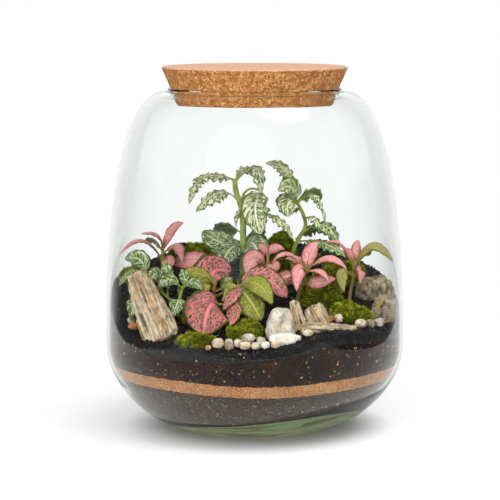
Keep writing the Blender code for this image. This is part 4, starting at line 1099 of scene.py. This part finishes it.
draw = random.Random(7)
for node, kit in PLANTS.items():
    veins = kit["veins"]
    parts = []
    for points, radius in kit["stems"]:
        first = points[0]
        if first[2] == 0:
            first = (first[0], first[1], ground(first[0], first[1]) - GRIT_TO_ROOT)
        parts.append(tube([first] + points[1:], radius * 1.05, STEM[veins], radius * 0.75))
    for number, (base, bend, tip, width, facing, extras) in enumerate(kit["leaves"]):
        flush = FLUSH.get(node, 0.0) * draw.uniform(0.75, 1.0)
        kind = "olive" if number in OLIVE.get(node, ()) else veins
        kind = "collar" if number in COLLAR.get(node, ()) else kind
        frill = FRILL.get(node, 0.35)
        parts += blade(base, bend, tip, width, facing, kind, draw.random(), flush, frill=frill, seed=number,
                       **extras)
    bpy.ops.object.select_all(action="DESELECT")
    for part in parts:
        part.select_set(True)
    bpy.context.view_layer.objects.active = parts[0]
    bpy.ops.object.join()
    plant = bpy.context.object
    plant.name = "leafy_" + node
    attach(plant, "root")
    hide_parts(node)


# Studio
# A white floor that glows with painted light away from the jar, so that shade stays only close to it, and a bright
# even room, with a large soft light above and to the left. The camera stands 1.75 m in front, a little above the
# jar, and looks slightly down.
CAMERA_PLACE = (-3.9, -1750.0, 369.0)
LOOK_HEIGHT = 149.0
FRAME_PIXELS = 500
FOCAL_PIXELS = 2100
SENSOR = 36.0
FLOOR_FRONT = 0.53
TABLE = 1.1

camera_data = bpy.data.cameras.new("camera")
camera_data.sensor_width = SENSOR
camera_data.lens = FOCAL_PIXELS * SENSOR / FRAME_PIXELS
camera = bpy.data.objects.new("camera", camera_data)
camera.location = Vector(CAMERA_PLACE) * MM
camera.rotation_euler = (math.pi / 2 - math.atan2(CAMERA_PLACE[2] - LOOK_HEIGHT, -CAMERA_PLACE[1]), 0, 0)
bpy.context.scene.collection.objects.link(camera)
bpy.context.scene.camera = camera

bpy.ops.mesh.primitive_plane_add(size=TABLE, location=(0, 0, 0))
floor = bpy.context.object
floor.name = "studio_floor"
floor.location.z = -0.00012
for vertex in floor.data.vertices:
    vertex.co.y += TABLE / 2 - FLOOR_FRONT
glowing_floor_finish, start, place = new_finish("white_floor_painted_glow", Base_Color=(0.56, 0.56, 0.56, 1), Roughness=0.9,
                                        Specular_IOR_Level=0.1, Emission_Strength=1.0)
across, ahead = place.apart("X"), place.apart("Y")
# Painted light: the floor's emission rises from nothing near the jar to full further out, so the floor is whiter
# away from the jar and its shade stays close.
away = (across * across + ahead * ahead).between(0.0030, 0.0150)
feed(glowing_floor_finish, Emission_Color=away.tint((0, 0, 0), (0.46, 0.46, 0.46)))
floor.data.materials.append(glowing_floor_finish)

for name, spot, spread, power in (("soft_top_sun", (0.35, -0.22, 1.0), 36, 1.55),
                                  ("soft_front_sun", (-0.25, -1.0, 0.50), 56, 2.2)):
    light_data = bpy.data.lights.new(name, "SUN")
    light_data.angle = math.radians(spread)
    light_data.energy = power
    light = bpy.data.objects.new(name, light_data)
    light.location = spot
    light.rotation_euler = (-Vector(spot)).to_track_quat("-Z", "Y").to_euler()
    light.visible_glossy = False
    bpy.context.scene.collection.objects.link(light)

world = bpy.data.worlds.new("bright_room")
bpy.context.scene.world = world
world.use_nodes = True
room = Wire(world.node_tree, None)
seen = room.node("ShaderNodeLightPath", {}, {}, "Is Camera Ray")
through = room.node("ShaderNodeLightPath", {}, {}, "Is Transmission Ray")
mirrored = room.node("ShaderNodeLightPath", {}, {}, "Glossy Depth")
mirrored = mirrored.maths("MINIMUM", mirrored, 1.0)
behind = room.node("ShaderNodeTexCoord", {}, {}, "Generated").apart("Y").between(0.55, 0.95)
white = seen.maths("MAXIMUM", seen.maths("MAXIMUM", seen, through), mirrored * behind)
strength = (white * 0.57 + 0.43) * (1 - mirrored * (1 - behind) * 0.93)
back = world.node_tree.nodes["Background"]
back.inputs["Color"].default_value = (1, 1, 1, 1)
world.node_tree.links.new(strength.socket, back.inputs["Strength"])
bpy.context.scene.view_settings.view_transform = "Standard"
